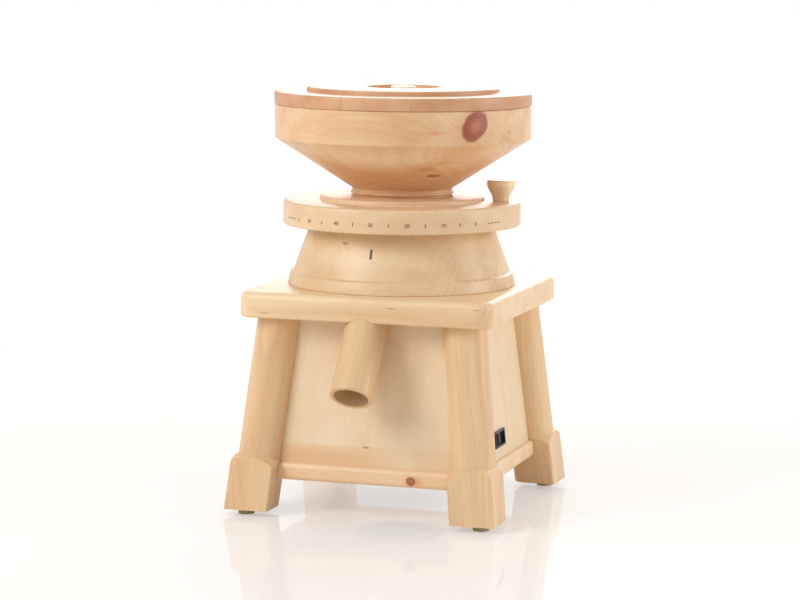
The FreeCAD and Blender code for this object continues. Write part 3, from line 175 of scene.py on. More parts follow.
def noise(tree: Tree, place: Socket, scale: float, detail: float, out: int | str = 0) -> Socket:
    """Noise Texture node; its Color output is three numbers at once."""
    return put(tree, "TexNoise", {"Vector": place, "Scale": scale, "Detail": detail}, out=out)


def blend(tree: Tree, factor: Socket, first: Socket | str, second: Socket | str) -> Socket:
    """Mix two colours, each a socket or a hex code."""
    pair = [linear(colour) if isinstance(colour, str) else colour for colour in (first, second)]
    return put(tree, "Mix", {0: factor, 6: pair[0], 7: pair[1]}, out=2, data_type="RGBA")


def bump(tree: Tree, height: Socket, strength: float, depth: float) -> Socket:
    """Bump node; the depth is in millimetres."""
    return put(tree, "Bump", {"Strength": strength, "Distance": depth * MM, "Height": height})


def new_material(name: str, shader: dict[str, object]) -> tuple[Material, Tree, Socket]:
    """Material with one Principled shader.

    Args:
        name: the material's name.
        shader: constants for the shader's sockets.

    Returns:
        The material, its node tree, and the place in the object's own frame.
    """
    material = bpy.data.materials.new(name)
    material.use_nodes = True
    bsdf = material.node_tree.nodes["Principled BSDF"]
    for key, value in shader.items():
        bsdf.inputs[key].default_value = value
    return material, material.node_tree, put(material.node_tree, "TexCoord", out="Object")


def wire(material: Material, colour: Socket, rough: Socket, normal: Socket) -> Material:
    """Link a material's shader.

    Args:
        material: a material of new_material.
        colour: its base colour.
        rough: its roughness.
        normal: its surface normal.

    Returns:
        The same material.
    """
    tree = material.node_tree
    bsdf = tree.nodes["Principled BSDF"]
    for key, socket in (("Base Color", colour), ("Roughness", rough), ("Normal", normal)):
        tree.links.new(socket, bsdf.inputs[key])
    return material


# ---------------------------------------------------------------- finishes
# waves to a millimetre across and along the grain: its swing, clouds of tone, fibres, resin ducts
SWING = (1 / 90, 1 / 90, 1 / 300)
CLOUD = (1 / 24, 1 / 24, 1 / 210)
FIBRE = (1.6, 1.6, 0.045)
DUCT = (0.8, 0.8, 0.07)
DUCT_TINT = "#B98450"
GLUE_TINT = "#C08A55"
KNOT_HALO = "#D79C6C"
# darkness over one year's growth, from its start to the next
YEAR_TONES = ((0.0, "#7A7A7A"), (0.2, "#000000"), (0.4, "#202020"), (0.78, "#A0A0A0"),
              (0.9, "#E0E0E0"), (1.0, "#7A7A7A"))
YEAR_DRIFT = 14.0  # how far the years' width wanders, millimetres
SEED_STEP = (37.0, 11.0, 53.0)
BOARD_SHIFT = (260.0, 160.0, 900.0)  # how differently the boards are sawn from the log, millimetres
BRANCH_START = (-60.0, -30.0)  # a branch fades in behind its point, millimetres
# about a knot, in its radii: where the grain bends round it, its halo, its dark ring and its edge
BEND_REACH = (0.8, 3.4)
BEND_SHARE = 0.72
HALO_REACH = (1.9, 1.0)
RING_REACH = (0.15, 0.7)
EDGE_REACH = (1.16, 0.92)
KNOT_WAVE = 0.3  # unevenness of a knot's edge, share of its radius
KNOT_YEAR = 1.7  # width of a year's growth in a branch, millimetres
OIL = {"IOR": 1.48, "Coat Weight": 0.16, "Coat Roughness": 0.24}


class Grain(Enum):
    """Which way the fibres run in a piece, as the turn from upright."""

    UPRIGHT = (0.0, 0.0, 0.0)
    ALONG_X = (0.0, math.pi / 2, 0.0)
    ALONG_Y = (math.pi / 2, 0.0, 0.0)


@dataclass(frozen=True)
class Knot:
    """Branch stub cut across by the surface: a round of dark rings that the grain flows about."""

    place: Triple  # a point on the branch's line, millimetres about the mill's axis
    along: Triple  # direction of the branch
    radius: float  # radius of the branch
    heart: str = "#BE7050"  # colour inside
    rim: str = "#8E3B18"  # colour of the bark line round it
    strength: float = 1.0  # how much it covers
    # direction that it is drawn out along, times the share that it is longer by
    oval: Triple = (0.0, 0.0, 0.0)


@dataclass(frozen=True)
class StainAndPaintedLight:
    """Soft patch of another tone: a resin streak or warm cloud in the wood itself, and also painted shade
    and painted bounce light.
    """

    place: Triple  # its middle, millimetres about the mill's axis
    size: Triple  # its half lengths, millimetres
    tint: str
    strength: float
    core: float = 0.15  # share of the size inside which it has its full strength


@dataclass(frozen=True)
class Pine:
    """Stone pine, planed or turned, sanded fine and oiled: pale, close-ringed, with a satin sheen."""

    name: str
    # direction of the fibres, an Enum member's value or a turn of its own
    grain: Triple = Grain.ALONG_X.value
    pith: Pair = (40.0, -120.0)  # where the tree's centre lies across the grain, millimetres
    ring: float = 3.4  # width of a year's growth
    pale: str = "#F4DDB2"  # early wood
    warm: str = "#EBC690"  # broad warmer clouds
    late: str = "#D9A667"  # the thin dense line that ends a year
    contrast: float = 0.5  # how strongly the year lines show
    sway: float = 26.0  # how far the grain wanders, in millimetres
    flecks: float = 0.4  # how dark the short resin ducts are
    board: float = 0.0  # width of the glued boards, or 0 for one piece
    board_phase: float = 0.0  # where the first board begins, in boards
    board_tone: float = 0.35  # how much the boards differ
    knots: tuple[Knot, ...] = ()
    stains_and_painted_light: tuple[StainAndPaintedLight, ...] = ()
    seed: float = 0.0  # picks the place in the endless pattern
    roughness: float = 0.44  # how matt the oiled surface is, on average

    def build(self) -> Material:
        """Make the material.

        Returns:
            A material whose pattern fills space, so that faces, edges and end grain agree.
        """
        material, tree, place = new_material(self.name, OIL)
        place = vectors(tree, "SUBTRACT", place, AXIS * MM)
        place = scaled(tree, place, 1 / MM)
        flow, reaches = place, []
        for knot in self.knots:
            across, reach = self._reach(tree, place, knot)
            pull = remap(tree, reach, *BEND_REACH, BEND_SHARE, 0.0, "SMOOTHERSTEP")
            flow = vectors(tree, "SUBTRACT", flow, scaled(tree, across, pull))
            reaches.append(reach)
        log = put(tree, "VectorRotate", {"Vector": flow, "Rotation": self.grain},
                  rotation_type="EULER_XYZ", invert=True)
        log, tone, seam = self._boards(tree, log)
        colour, height, late = self._rings(tree, log, tone)
        if seam is not None:
            colour = blend(tree, seam, colour, GLUE_TINT)
        # tint the patches: stains in the wood, and painted shade and painted bounce light
        for stain_and_painted_light in self.stains_and_painted_light:
            gap = vectors(tree, "SUBTRACT", place, stain_and_painted_light.place)
            gap = vectors(tree, "MULTIPLY", gap, [1 / s for s in stain_and_painted_light.size])
            gap = measure(tree, "LENGTH", gap)
            mask = remap(tree, gap, 1.0, stain_and_painted_light.core, 0.0, stain_and_painted_light.strength, "SMOOTHSTEP")
            colour = blend(tree, mask, colour, stain_and_painted_light.tint)
        for knot, reach in zip(self.knots, reaches):
            colour = self._knot(tree, colour, knot, reach)
        rough = remap(tree, height, 0.0, 1.0, self.roughness - 0.05, self.roughness + 0.07)
        normal = bump(tree, maths(tree, "ADD", height, late), 0.3, 0.12)
        return wire(material, colour, rough, normal)

    @staticmethod
    def _reach(tree: Tree, place: Socket, knot: Knot) -> tuple[Socket, Socket]:
        """Measure out from a knot's line.

        Args:
            tree: node tree to add to.
            place: the place, in millimetres about the mill's axis.
            knot: the knot.

        Returns:
            The vector away from the line, and its length in knot radii with an uneven edge.
        """
        along = Vector(knot.along).normalized()
        gap = vectors(tree, "SUBTRACT", place, knot.place)
        share = measure(tree, "DOT_PRODUCT", gap, along)
        across = vectors(tree, "SUBTRACT", gap, scaled(tree, along, share))
        drawn = Vector(knot.oval)
        if drawn.length:
            share_out = measure(tree, "DOT_PRODUCT", across, drawn.normalized())
            across = vectors(tree, "SUBTRACT", across, scaled(tree, drawn, share_out))
        length = measure(tree, "LENGTH", across)
        wave = noise(tree, across, 0.7 / knot.radius, 3.0)
        wave = remap(tree, wave, 0.0, 1.0, -KNOT_WAVE, KNOT_WAVE)
        reach = maths(tree, "MULTIPLY_ADD", length, 1 / knot.radius, wave)
        behind = remap(tree, share, *BRANCH_START, 9.0, 0.0)
        return across, maths(tree, "ADD", reach, behind)

    def _boards(self, tree: Tree, log: Socket) -> tuple[Socket, Socket | None, Socket | None]:
        """Shift the log from board to board.

        Args:
            tree: node tree to add to.
            log: the place in the log.

        Returns:
            The place in the board's own log, the board's tone, and how near its glue line is.
        """
        if not self.board:
            return log, None, None
        across = put(tree, "SeparateXYZ", {0: log})
        along = maths(tree, "MULTIPLY_ADD", across, 1 / self.board, self.board_phase)
        number = maths(tree, "FLOOR", along)
        number = maths(tree, "ADD", number, self.seed)
        chance = put(tree, "TexWhiteNoise", {"W": number}, out="Color", noise_dimensions="1D")
        tone = put(tree, "TexWhiteNoise", {"W": number}, out="Value", noise_dimensions="1D")
        shift = vectors(tree, "SUBTRACT", chance, (0.5, 0.2, 0.0))
        shift = vectors(tree, "MULTIPLY", shift, BOARD_SHIFT)
        moved = vectors(tree, "ADD", log, shift)
        edge = maths(tree, "FRACT", maths(tree, "ADD", along, 0.5))
        edge = maths(tree, "ABSOLUTE", maths(tree, "SUBTRACT", edge, 0.5))
        return moved, tone, remap(tree, edge, 0.0, 0.5 / self.board, 0.55, 0.0)

    def _rings(self, tree: Tree, log: Socket, tone: Socket | None) -> tuple[Socket, Socket, Socket]:
        """Draw year rings, clouds and fibres.

        Args:
            tree: node tree to add to.
            log: the place in the log.
            tone: the board's tone, if the piece is glued up.

        Returns:
            The colour, the fibres' height and the strength of the year line.
        """
        moved = vectors(tree, "ADD", log, [self.seed * step for step in SEED_STEP])
        wide = vectors(tree, "MULTIPLY", moved, SWING)
        bend = noise(tree, wide, 1.0, 2.0, "Color")
        bend = vectors(tree, "SUBTRACT", bend, (0.5, 0.5, 0.5))
        bent = vectors(tree, "ADD", log, scaled(tree, bend, self.sway))
        bent = vectors(tree, "SUBTRACT", bent, (*self.pith, 0.0))
        bent = vectors(tree, "MULTIPLY", bent, (1.0, 1.0, 0.0))
        years = measure(tree, "LENGTH", bent)
        drift = put(tree, "TexNoise", {"W": years, "Scale": 0.06, "Detail": 2.0}, noise_dimensions="1D")
        years = maths(tree, "MULTIPLY_ADD", drift, YEAR_DRIFT, years)
        years = maths(tree, "FRACT", maths(tree, "MULTIPLY", years, 1 / self.ring))
        line = put(tree, "ValToRGB", {0: years}, stops=YEAR_TONES)
        patch = noise(tree, wide, 1.7, 1.0)
        patch = remap(tree, patch, 0.35, 0.68, 0.35 * self.contrast, self.contrast)
        late = maths(tree, "MULTIPLY", line, patch)
        cloud = noise(tree, vectors(tree, "MULTIPLY", moved, CLOUD), 1.0, 3.0)
        cloud = remap(tree, cloud, 0.34, 0.7, 0.0, 1.0)
        if tone is not None:
            step = remap(tree, tone, 0.0, 1.0, -self.board_tone, self.board_tone)
            cloud = maths(tree, "ADD", cloud, step, use_clamp=True)
        colour = blend(tree, cloud, self.pale, self.warm)
        colour = blend(tree, late, colour, self.late)
        fibre = vectors(tree, "MULTIPLY", moved, FIBRE)
        fibre = put(tree, "TexNoise", {"Vector": fibre, "Scale": 1.0, "Detail": 3.0, "Roughness": 0.6})
        shade = remap(tree, fibre, 0.42, 0.78, 0.0, 0.3)
        colour = blend(tree, shade, colour, self.late)
        dash = noise(tree, vectors(tree, "MULTIPLY", moved, DUCT), 1.0, 1.0)
        dash = remap(tree, dash, 0.7, 0.8, 0.0, self.flecks)
        return blend(tree, dash, colour, DUCT_TINT), fibre, late

    @staticmethod
    def _knot(tree: Tree, colour: Socket, knot: Knot, reach: Socket) -> Socket:
        """Paint a knot with its own rings, its bark line and a warm surround.

        Args:
            tree: node tree to add to.
            colour: the wood's colour.
            knot: the knot.
            reach: distance from its line, in knot radii.

        Returns:
            The colour with the knot in it.
        """
        halo = remap(tree, reach, *HALO_REACH, 0.0, 0.35 * knot.strength, "SMOOTHSTEP")
        colour = blend(tree, halo, colour, KNOT_HALO)
        own = maths(tree, "FRACT", maths(tree, "MULTIPLY", reach, max(2.0, knot.radius / KNOT_YEAR)))
        own = remap(tree, own, 0.35, 0.95, 0.0, 0.5)
        inside = blend(tree, own, knot.heart, knot.rim)
        outward = remap(tree, reach, *RING_REACH, 0.0, 0.8, "SMOOTHSTEP")
        inside = blend(tree, outward, inside, knot.rim)
        mask = remap(tree, reach, *EDGE_REACH, 0.0, knot.strength, "SMOOTHSTEP")
        return blend(tree, mask, colour, inside)


@dataclass(frozen=True)
class Metal:
    """Bare or plated metal, brushed or turned: fine lines that soften its reflections."""

    name: str
    colour: str
    roughness: float = 0.32
    line: float = 0.25  # spacing of the turning lines, millimetres
    worn: str = "#8C8C8C"

    def build(self) -> Material:
        """Make the material.

        Returns:
            A metal with lines across its height and dull patches.
        """
        material, tree, place = new_material(self.name, {"Metallic": 1.0})
        lines = vectors(tree, "MULTIPLY", place, (0.05 / MM, 0.05 / MM, 1 / (self.line * MM)))
        lines = noise(tree, lines, 1.0, 2.0)
        dull = remap(tree, noise(tree, place, 0.09 / MM, 3.0), 0.4, 0.75, 0.0, 0.35)
        colour = blend(tree, dull, self.colour, self.worn)
        rough = remap(tree, lines, 0.0, 1.0, self.roughness - 0.1, self.roughness + 0.12)
        return wire(material, colour, rough, bump(tree, lines, 0.15, 0.05))


@dataclass(frozen=True)
class Moulded:
    """Moulded plastic, rubber or enamel: an even colour broken by a fine spark-eroded texture."""

    name: str
    colour: str
    light: str
    roughness: float = 0.4
    pebble: float = 0.7  # size of the mould's texture, millimetres, coarse enough to show
    ior: float = 1.5

    def build(self) -> Material:
        """Make the material.

        Returns:
            A dielectric with pebbles and slightly lighter patches.
        """
        material, tree, place = new_material(self.name, {"IOR": self.ior})
        fine = noise(tree, place, 1 / (self.pebble * MM), 2.0)
        patch = remap(tree, noise(tree, place, 0.06 / MM, 2.0), 0.35, 0.75, 0.0, 0.6)
        colour = blend(tree, patch, self.colour, self.light)
        rough = remap(tree, fine, 0.0, 1.0, self.roughness - 0.06, self.roughness + 0.1)
        return wire(material, colour, rough, bump(tree, fine, 0.2, 0.05))


@dataclass(frozen=True)
class Grit:
    """Corundum grains in a ceramic bond, or pressed felt: two tones in grains of a real size."""

    name: str
    colour: str
    speck: str
    grain: float = 1.2  # size of a grain, millimetres
    roughness: float = 0.92
    depth: float = 0.4  # depth of the relief, millimetres
    sheen: float = 0.0

    def build(self) -> Material:
        """Make the material.

        Returns:
            A matt material of two tones in cells, with a fuzzy relief.
        """
        material, tree, place = new_material(self.name, {"Sheen Weight": self.sheen})
        cells = put(tree, "TexVoronoi", {"Vector": place, "Scale": 1 / (self.grain * MM)}, out="Color")
        tone = remap(tree, put(tree, "SeparateXYZ", {0: cells}), 0.2, 0.95, 0.0, 0.85)
        colour = blend(tree, tone, self.colour, self.speck)
        fuzz = noise(tree, place, 2.2 / (self.grain * MM), 4.0)
        height = maths(tree, "ADD", tone, fuzz)
        rough = remap(tree, fuzz, 0.0, 1.0, self.roughness - 0.1, self.roughness)
        return wire(material, colour, rough, bump(tree, height, 0.6, self.depth))


# ---------------------------------------------------------------- shaping
@dataclass(frozen=True)
class Corner:
    """Corner of a turned outline: its radius, its level, and the radius it is rounded to."""

    r: float
    z: float
    soft: float = 0.0


def rounded(corners: Sequence[Corner], closed: bool) -> list[Vector]:
    """Outline with its soft corners as arcs.

    Args:
        corners: the outline's corners in order.
        closed: whether the last corner joins the first.

    Returns:
        Points in the XZ plane.
    """
    points: list[Vector] = []
    count = len(corners)
    for k, corner in enumerate(corners):
        here = Vector((corner.r, 0, corner.z))
        if corner.soft <= 0 or (not closed and k in (0, count - 1)):
            points.append(here)
            continue
        before, after = corners[k - 1], corners[(k + 1) % count]
        back = (Vector((before.r, 0, before.z)) - here).normalized()
        ahead = (Vector((after.r, 0, after.z)) - here).normalized()
        half = back.angle(ahead) / 2
        centre = here + (back + ahead).normalized() * (corner.soft / math.sin(half))
        reach = corner.soft / math.tan(half)
        start, stop = here + back * reach - centre, here + ahead * reach - centre
        points += [centre + start.slerp(stop, n / ARC_STEPS) * corner.soft for n in range(ARC_STEPS + 1)]
    return points


def turned(corners: Sequence[Corner], closed: bool = True, steps: int = TURN_STEPS) -> Shape:
    """Turn an outline about the vertical axis.

    Args:
        corners: the outline, closed, or open with both ends on the axis.
        closed: whether the last corner joins the first.
        steps: facets round the piece.

    Returns:
        A closed mesh in millimetres.
    """
    mesh = bmesh.new()
    verts = [mesh.verts.new(p) for p in rounded(corners, closed)]
    pairs = list(zip(verts, verts[1:])) + ([(verts[-1], verts[0])] if closed else [])
    edges = [mesh.edges.new(pair) for pair in pairs]
    bmesh.ops.spin(mesh, geom=verts + edges, cent=(0, 0, 0), axis=(0, 0, 1), dvec=(0, 0, 0),
                   angle=math.tau, steps=steps, use_merge=True, use_duplicate=False)
    bmesh.ops.remove_doubles(mesh, verts=mesh.verts, dist=MERGE)
    bmesh.ops.recalc_face_normals(mesh, faces=mesh.faces)
    return mesh


def stored(name: str, mesh: Shape) -> bpy.types.Mesh:
    """Mesh data of a working mesh, which is freed."""
    data = bpy.data.meshes.new(name)
    mesh.to_mesh(data)
    mesh.free()
    return data


def shown(name: str, data: bpy.types.ID) -> bpy.types.Object:
    """Object at the origin, linked to the scene."""
    thing = bpy.data.objects.new(name, data)
    bpy.context.scene.collection.objects.link(thing)
    return thing


def finished(name: str, mesh: Shape, material: Material, body: str,
             nodes: Iterable[str] = ()) -> None:
    """Turn a mesh in millimetres into a piece of the mill.

    Args:
        name: the piece's name.
        mesh: its shape about the mill's axis; it is freed.
        material: its finish.
        body: the CAD body it moves with.
        nodes: CAD nodes it stands for.
    """
    bmesh.ops.transform(mesh, matrix=Matrix.Scale(MM, 4) @ Matrix.Translation(AXIS), verts=mesh.verts)
    data = stored(name, mesh)
    data.polygons.foreach_set("use_smooth", [True] * len(data.polygons))
    data.set_sharp_from_angle(angle=SMOOTH_ANGLE)
    data.materials.append(material)
    piece = shown(name, data)
    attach(piece, body)
    if nodes:
        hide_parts(*nodes)
    LOG.info("%s: %d faces", name, len(data.polygons))


def dress(nodes: Iterable[str], material: Material) -> None:
    """Give carried-over CAD nodes a finish.

    Args:
        nodes: the nodes' names.
        material: their finish.
    """
    for node in nodes:
        for entry in frame["nodes"][node].material_slots:
            entry.material = material
        LOG.info("%s: %s", node, material.name)


# ---------------------------------------------------------------- the mill's woods
BOWL_WOOD = Pine(
    "pine_bowl", pith=(-560.0, 60.0), ring=3.6, pale="#EBC9A2", warm="#DBAC7E", late="#C9935F",
    contrast=0.55, seed=1.0,
    knots=(Knot((91.9, -76.1, 360.0), (0.77, -0.64, 0.0), 11.4, oval=(0.12, 0.14, 0.18)),
           Knot((46.5, -54.8, 312.7), (0.55, -0.6, -0.5), 2.6, "#A9692F", "#8E5424", 0.8,
                (0.44, 0.4, 0.0))),
    stains_and_painted_light=(StainAndPaintedLight((62.0, -102.0, 355.0), (19.0, 16.0, 3.6), "#D98E6A", 0.6),
            StainAndPaintedLight((113.0, -38.0, 353.7), (2.2, 2.2, 2.2), "#B87B52", 0.7),
            # partly the wood's own tone and partly painted bounce light: a warmer, more orange cloud over
            # the cone's lower front, where warm light reflected from the dial's top falls
            StainAndPaintedLight((14.0, -58.0, 300.0), (95.0, 60.0, 38.0), "#CC8340", 0.3),
            StainAndPaintedLight((44.0, -69.0, 320.0), (15.0, 12.0, 4.0), "#BC763C", 0.5),
            StainAndPaintedLight((60.0, -68.0, 326.0), (9.0, 9.0, 3.0), "#BC763C", 0.4)))
LID_WOOD = Pine(
    "pine_lid", Grain.ALONG_Y.value, pith=(-800.0, 40.0), ring=2.1, sway=9.0, pale="#D6A880",
    warm="#C8916A", late="#BC8258", contrast=0.6, board=62.0, board_phase=0.324, seed=4.0)
DIAL_WOOD = Pine(
    "pine_dial", pith=(-120.0, 420.0), ring=4.2, pale="#E9CCA8", warm="#DFBA92", late="#CFA176",
    contrast=0.35, seed=7.0)
KNOB_WOOD = Pine(
    "beech_knob", Grain.UPRIGHT.value, pith=(210.0, 30.0), ring=2.6, pale="#FFE6C6", warm="#F8D8B2",
    late="#C59068", contrast=0.35, seed=9.0, roughness=0.38)
HOUSING_WOOD = Pine(
    "pine_housing", pith=(-120.0, 60.0), ring=3.8, pale="#E8CDA6", warm="#DCB68A", late="#CC9E6E",
    contrast=0.5, seed=2.0,
    knots=(Knot((-27.4, -85.4, 250.9), (-0.3, -0.95, 0.1), 1.2, "#A06C42", "#85603C", 0.6,
                (0.57, -0.18, 0.0)),))
BOARD_WOOD = Pine(
    "pine_top_board", pith=(-90.0, 300.0), ring=4.0, pale="#EFD4AC", warm="#E5C096", late="#D3A272",
    contrast=0.5, seed=3.0,
    stains_and_painted_light=(StainAndPaintedLight((-93.0, -120.0, 188.0), (6.0, 8.0, 1.0), "#B87842", 0.7),
            StainAndPaintedLight((28.5, -120.0, 197.8), (8.0, 8.0, 0.9), "#B87842", 0.7),
            StainAndPaintedLight((108.0, -118.0, 200.0), (6.0, 9.0, 1.0), "#B87842", 0.6)))
BASE_WOOD = Pine(
    "pine_base_board", pith=(60.0, -160.0), ring=3.6, pale="#F8DCB8", warm="#EEC89E", late="#D29C6C",
    contrast=0.55, seed=5.0,
    knots=(Knot((44.6, -108.7, 38.9), (0.1, -1.0, 0.05), 4.0, "#B5673C", "#96502B", 0.9),),
    stains_and_painted_light=(StainAndPaintedLight((48.0, -108.7, 39.0), (12.0, 12.0, 7.0), "#C9813F", 0.55),))
SPOUT_WOOD = Pine(
    "pine_spout", (math.radians(-37), 0.0, 0.0), pith=(150.0, 60.0), ring=3.0, pale="#DFBC8E",
    warm="#D9B084", late="#C6946A", contrast=0.45, seed=6.0)
PANEL_WOOD = Pine(
    "birch_plywood", Grain.UPRIGHT.value, pith=(30.0, 900.0), ring=7.0, pale="#EFD9BA",
    warm="#E8CCA6", late="#D9B890", contrast=0.4, flecks=0.12, seed=8.0, roughness=0.48,
    # the first two patches are painted shade: the shadow band along the panel's foot, crisp along its top
    # and fading to the right; the third is a dark mark in the wood
    stains_and_painted_light=(StainAndPaintedLight((0.0, -103.0, -933.0), (9000.0, 900.0, 1000.0), "#E2B383", 0.3, 0.9993),
            StainAndPaintedLight((-45.0, -103.0, 55.0), (80.0, 12.0, 14.0), "#DDA066", 0.5),
            StainAndPaintedLight((-0.5, -101.7, 66.4), (5.0, 6.0, 1.6), "#A06A3C", 0.85)))
DOWEL_WOOD = Pine(
    "beech_dowel", Grain.ALONG_X.value, ring=2.2, pale="#E9C79B", warm="#DDB080", late="#C9965F",
    contrast=0.3, seed=10.0)
LEG_WOOD = Pine(
    "pine_leg", Grain.UPRIGHT.value, pith=(70.0, 60.0), ring=3.2, pale="#EACBA0", warm="#DDB286",
    late="#CA9664", contrast=0.6)

# ---------------------------------------------------------------- finishes of the other slots
FINISHES = {
    # pressed wool felt: dull and fibrous, with a soft edge to its light
    "pad_felt": Grit("pressed_felt", "#C6BC9C", "#A89E7E", 1.1, 0.98, 0.5, 0.35),
    # walnut let into the pine: a dark bar with no gloss of its own
    "index_inlay": Moulded("walnut_inlay", "#4A3226", "#5C4030", 0.5, 0.9),
    # zinc-plated steel: bluish grey, fairly bright
    "steel_zinc": Metal("zinc_plated_steel", "#BFC3C6", 0.3, 0.4, "#9AA0A2"),
    # ground carbon steel: the brightest metal here
    "steel_shaft": Metal("ground_steel", "#C9C9C8", 0.2, 0.3, "#A8A8A6"),
    "bearing_steel": Metal("bearing_steel", "#CFD0D0", 0.16, 0.3, "#B4B4B4"),
    # die-cast aluminium: pale and satin, slightly uneven
    "motor_aluminium": Metal("cast_aluminium", "#C4C5C6", 0.42, 0.8, "#A6A7A9"),
    # baked grey enamel on the motor's shell: smooth with a little orange peel
    "motor_paint": Moulded("grey_enamel", "#5A6066", "#666D73", 0.32, 1.6),
    # stacked electrical steel: dark, with a line for each few sheets
    "lamination_steel": Metal("lamination_steel", "#7E8084", 0.38, 1.0, "#5E5F62"),
    # enamelled copper wire: reddish and glossy, in turns a millimetre apart
    "copper_wire": Metal("enamelled_copper", "#C7713C", 0.28, 1.0, "#8F4A24"),
    # nitrile rubber: dark, matt, greyish where it is worn
    "black_rubber": Moulded("nitrile_rubber", "#242424", "#2E2D2C", 0.72, 0.9, 1.52),
    # moulded ABS: black with a fine spark-eroded texture
    "black_plastic": Moulded("black_abs", "#17181A", "#202225", 0.42, 0.8, 1.54),
    "rocker_plastic": Moulded("black_nylon", "#101113", "#191A1C", 0.26, 1.2, 1.53),
    "grille_plastic": Moulded("dark_abs", "#2B2C2E", "#35373A", 0.46, 0.8, 1.54),
    # glass-filled nylon of the fan: charcoal with pale flow marks
    "fan_plastic": Moulded("glass_filled_nylon", "#3A3D40", "#4B4F53", 0.5, 1.4, 1.53),
    # white acetal of the holder and thread: waxy and smooth
    "collar_plastic": Moulded("acetal", "#E4E1D8", "#D9D5CA", 0.36, 1.2, 1.48),
    "capacitor_can": Metal("drawn_aluminium_can", "#C9CACC", 0.3, 0.6, "#AFB0B3"),
    # corundum and silicon grains in a ceramic bond: pale grey with darker grains
    "millstone": Grit("corundum_stone", "#BDB8AD", "#8C877D", 1.4, 0.95, 0.5),
    "spring_steel": Metal("blued_spring_steel", "#8D9196", 0.28, 0.4, "#6A6E75"),
    "felt_seal": Grit("grey_felt", "#8F8D88", "#75736E", 1.0, 0.98, 0.5, 0.3),
    # soft PVC over stranded copper
    "wire_sleeve": Moulded("soft_pvc", "#2A4B78", "#35588A", 0.38, 1.0, 1.53),
    "tinned_brass": Metal("tinned_brass", "#D2C8A4", 0.24, 0.3, "#B7AB84"),
    "board_pine": BOARD_WOOD,
    "housing_pine": HOUSING_WOOD,
    "dial_pine": DIAL_WOOD,
    "bowl_pine": BOWL_WOOD,
    "lid_pine": LID_WOOD,
    "knob_wood": KNOB_WOOD,
    "spout_pine": SPOUT_WOOD,
    "panel_plywood": PANEL_WOOD,
    "dowel_beech": DOWEL_WOOD,
    "leg_pine": LEG_WOOD,
}
# burnt figures: dark brown, matt, slightly uneven as a hot stamp leaves them
STAMP = Moulded("burnt_figures", "#3A2A20", "#4A372B", 0.6, 0.6)


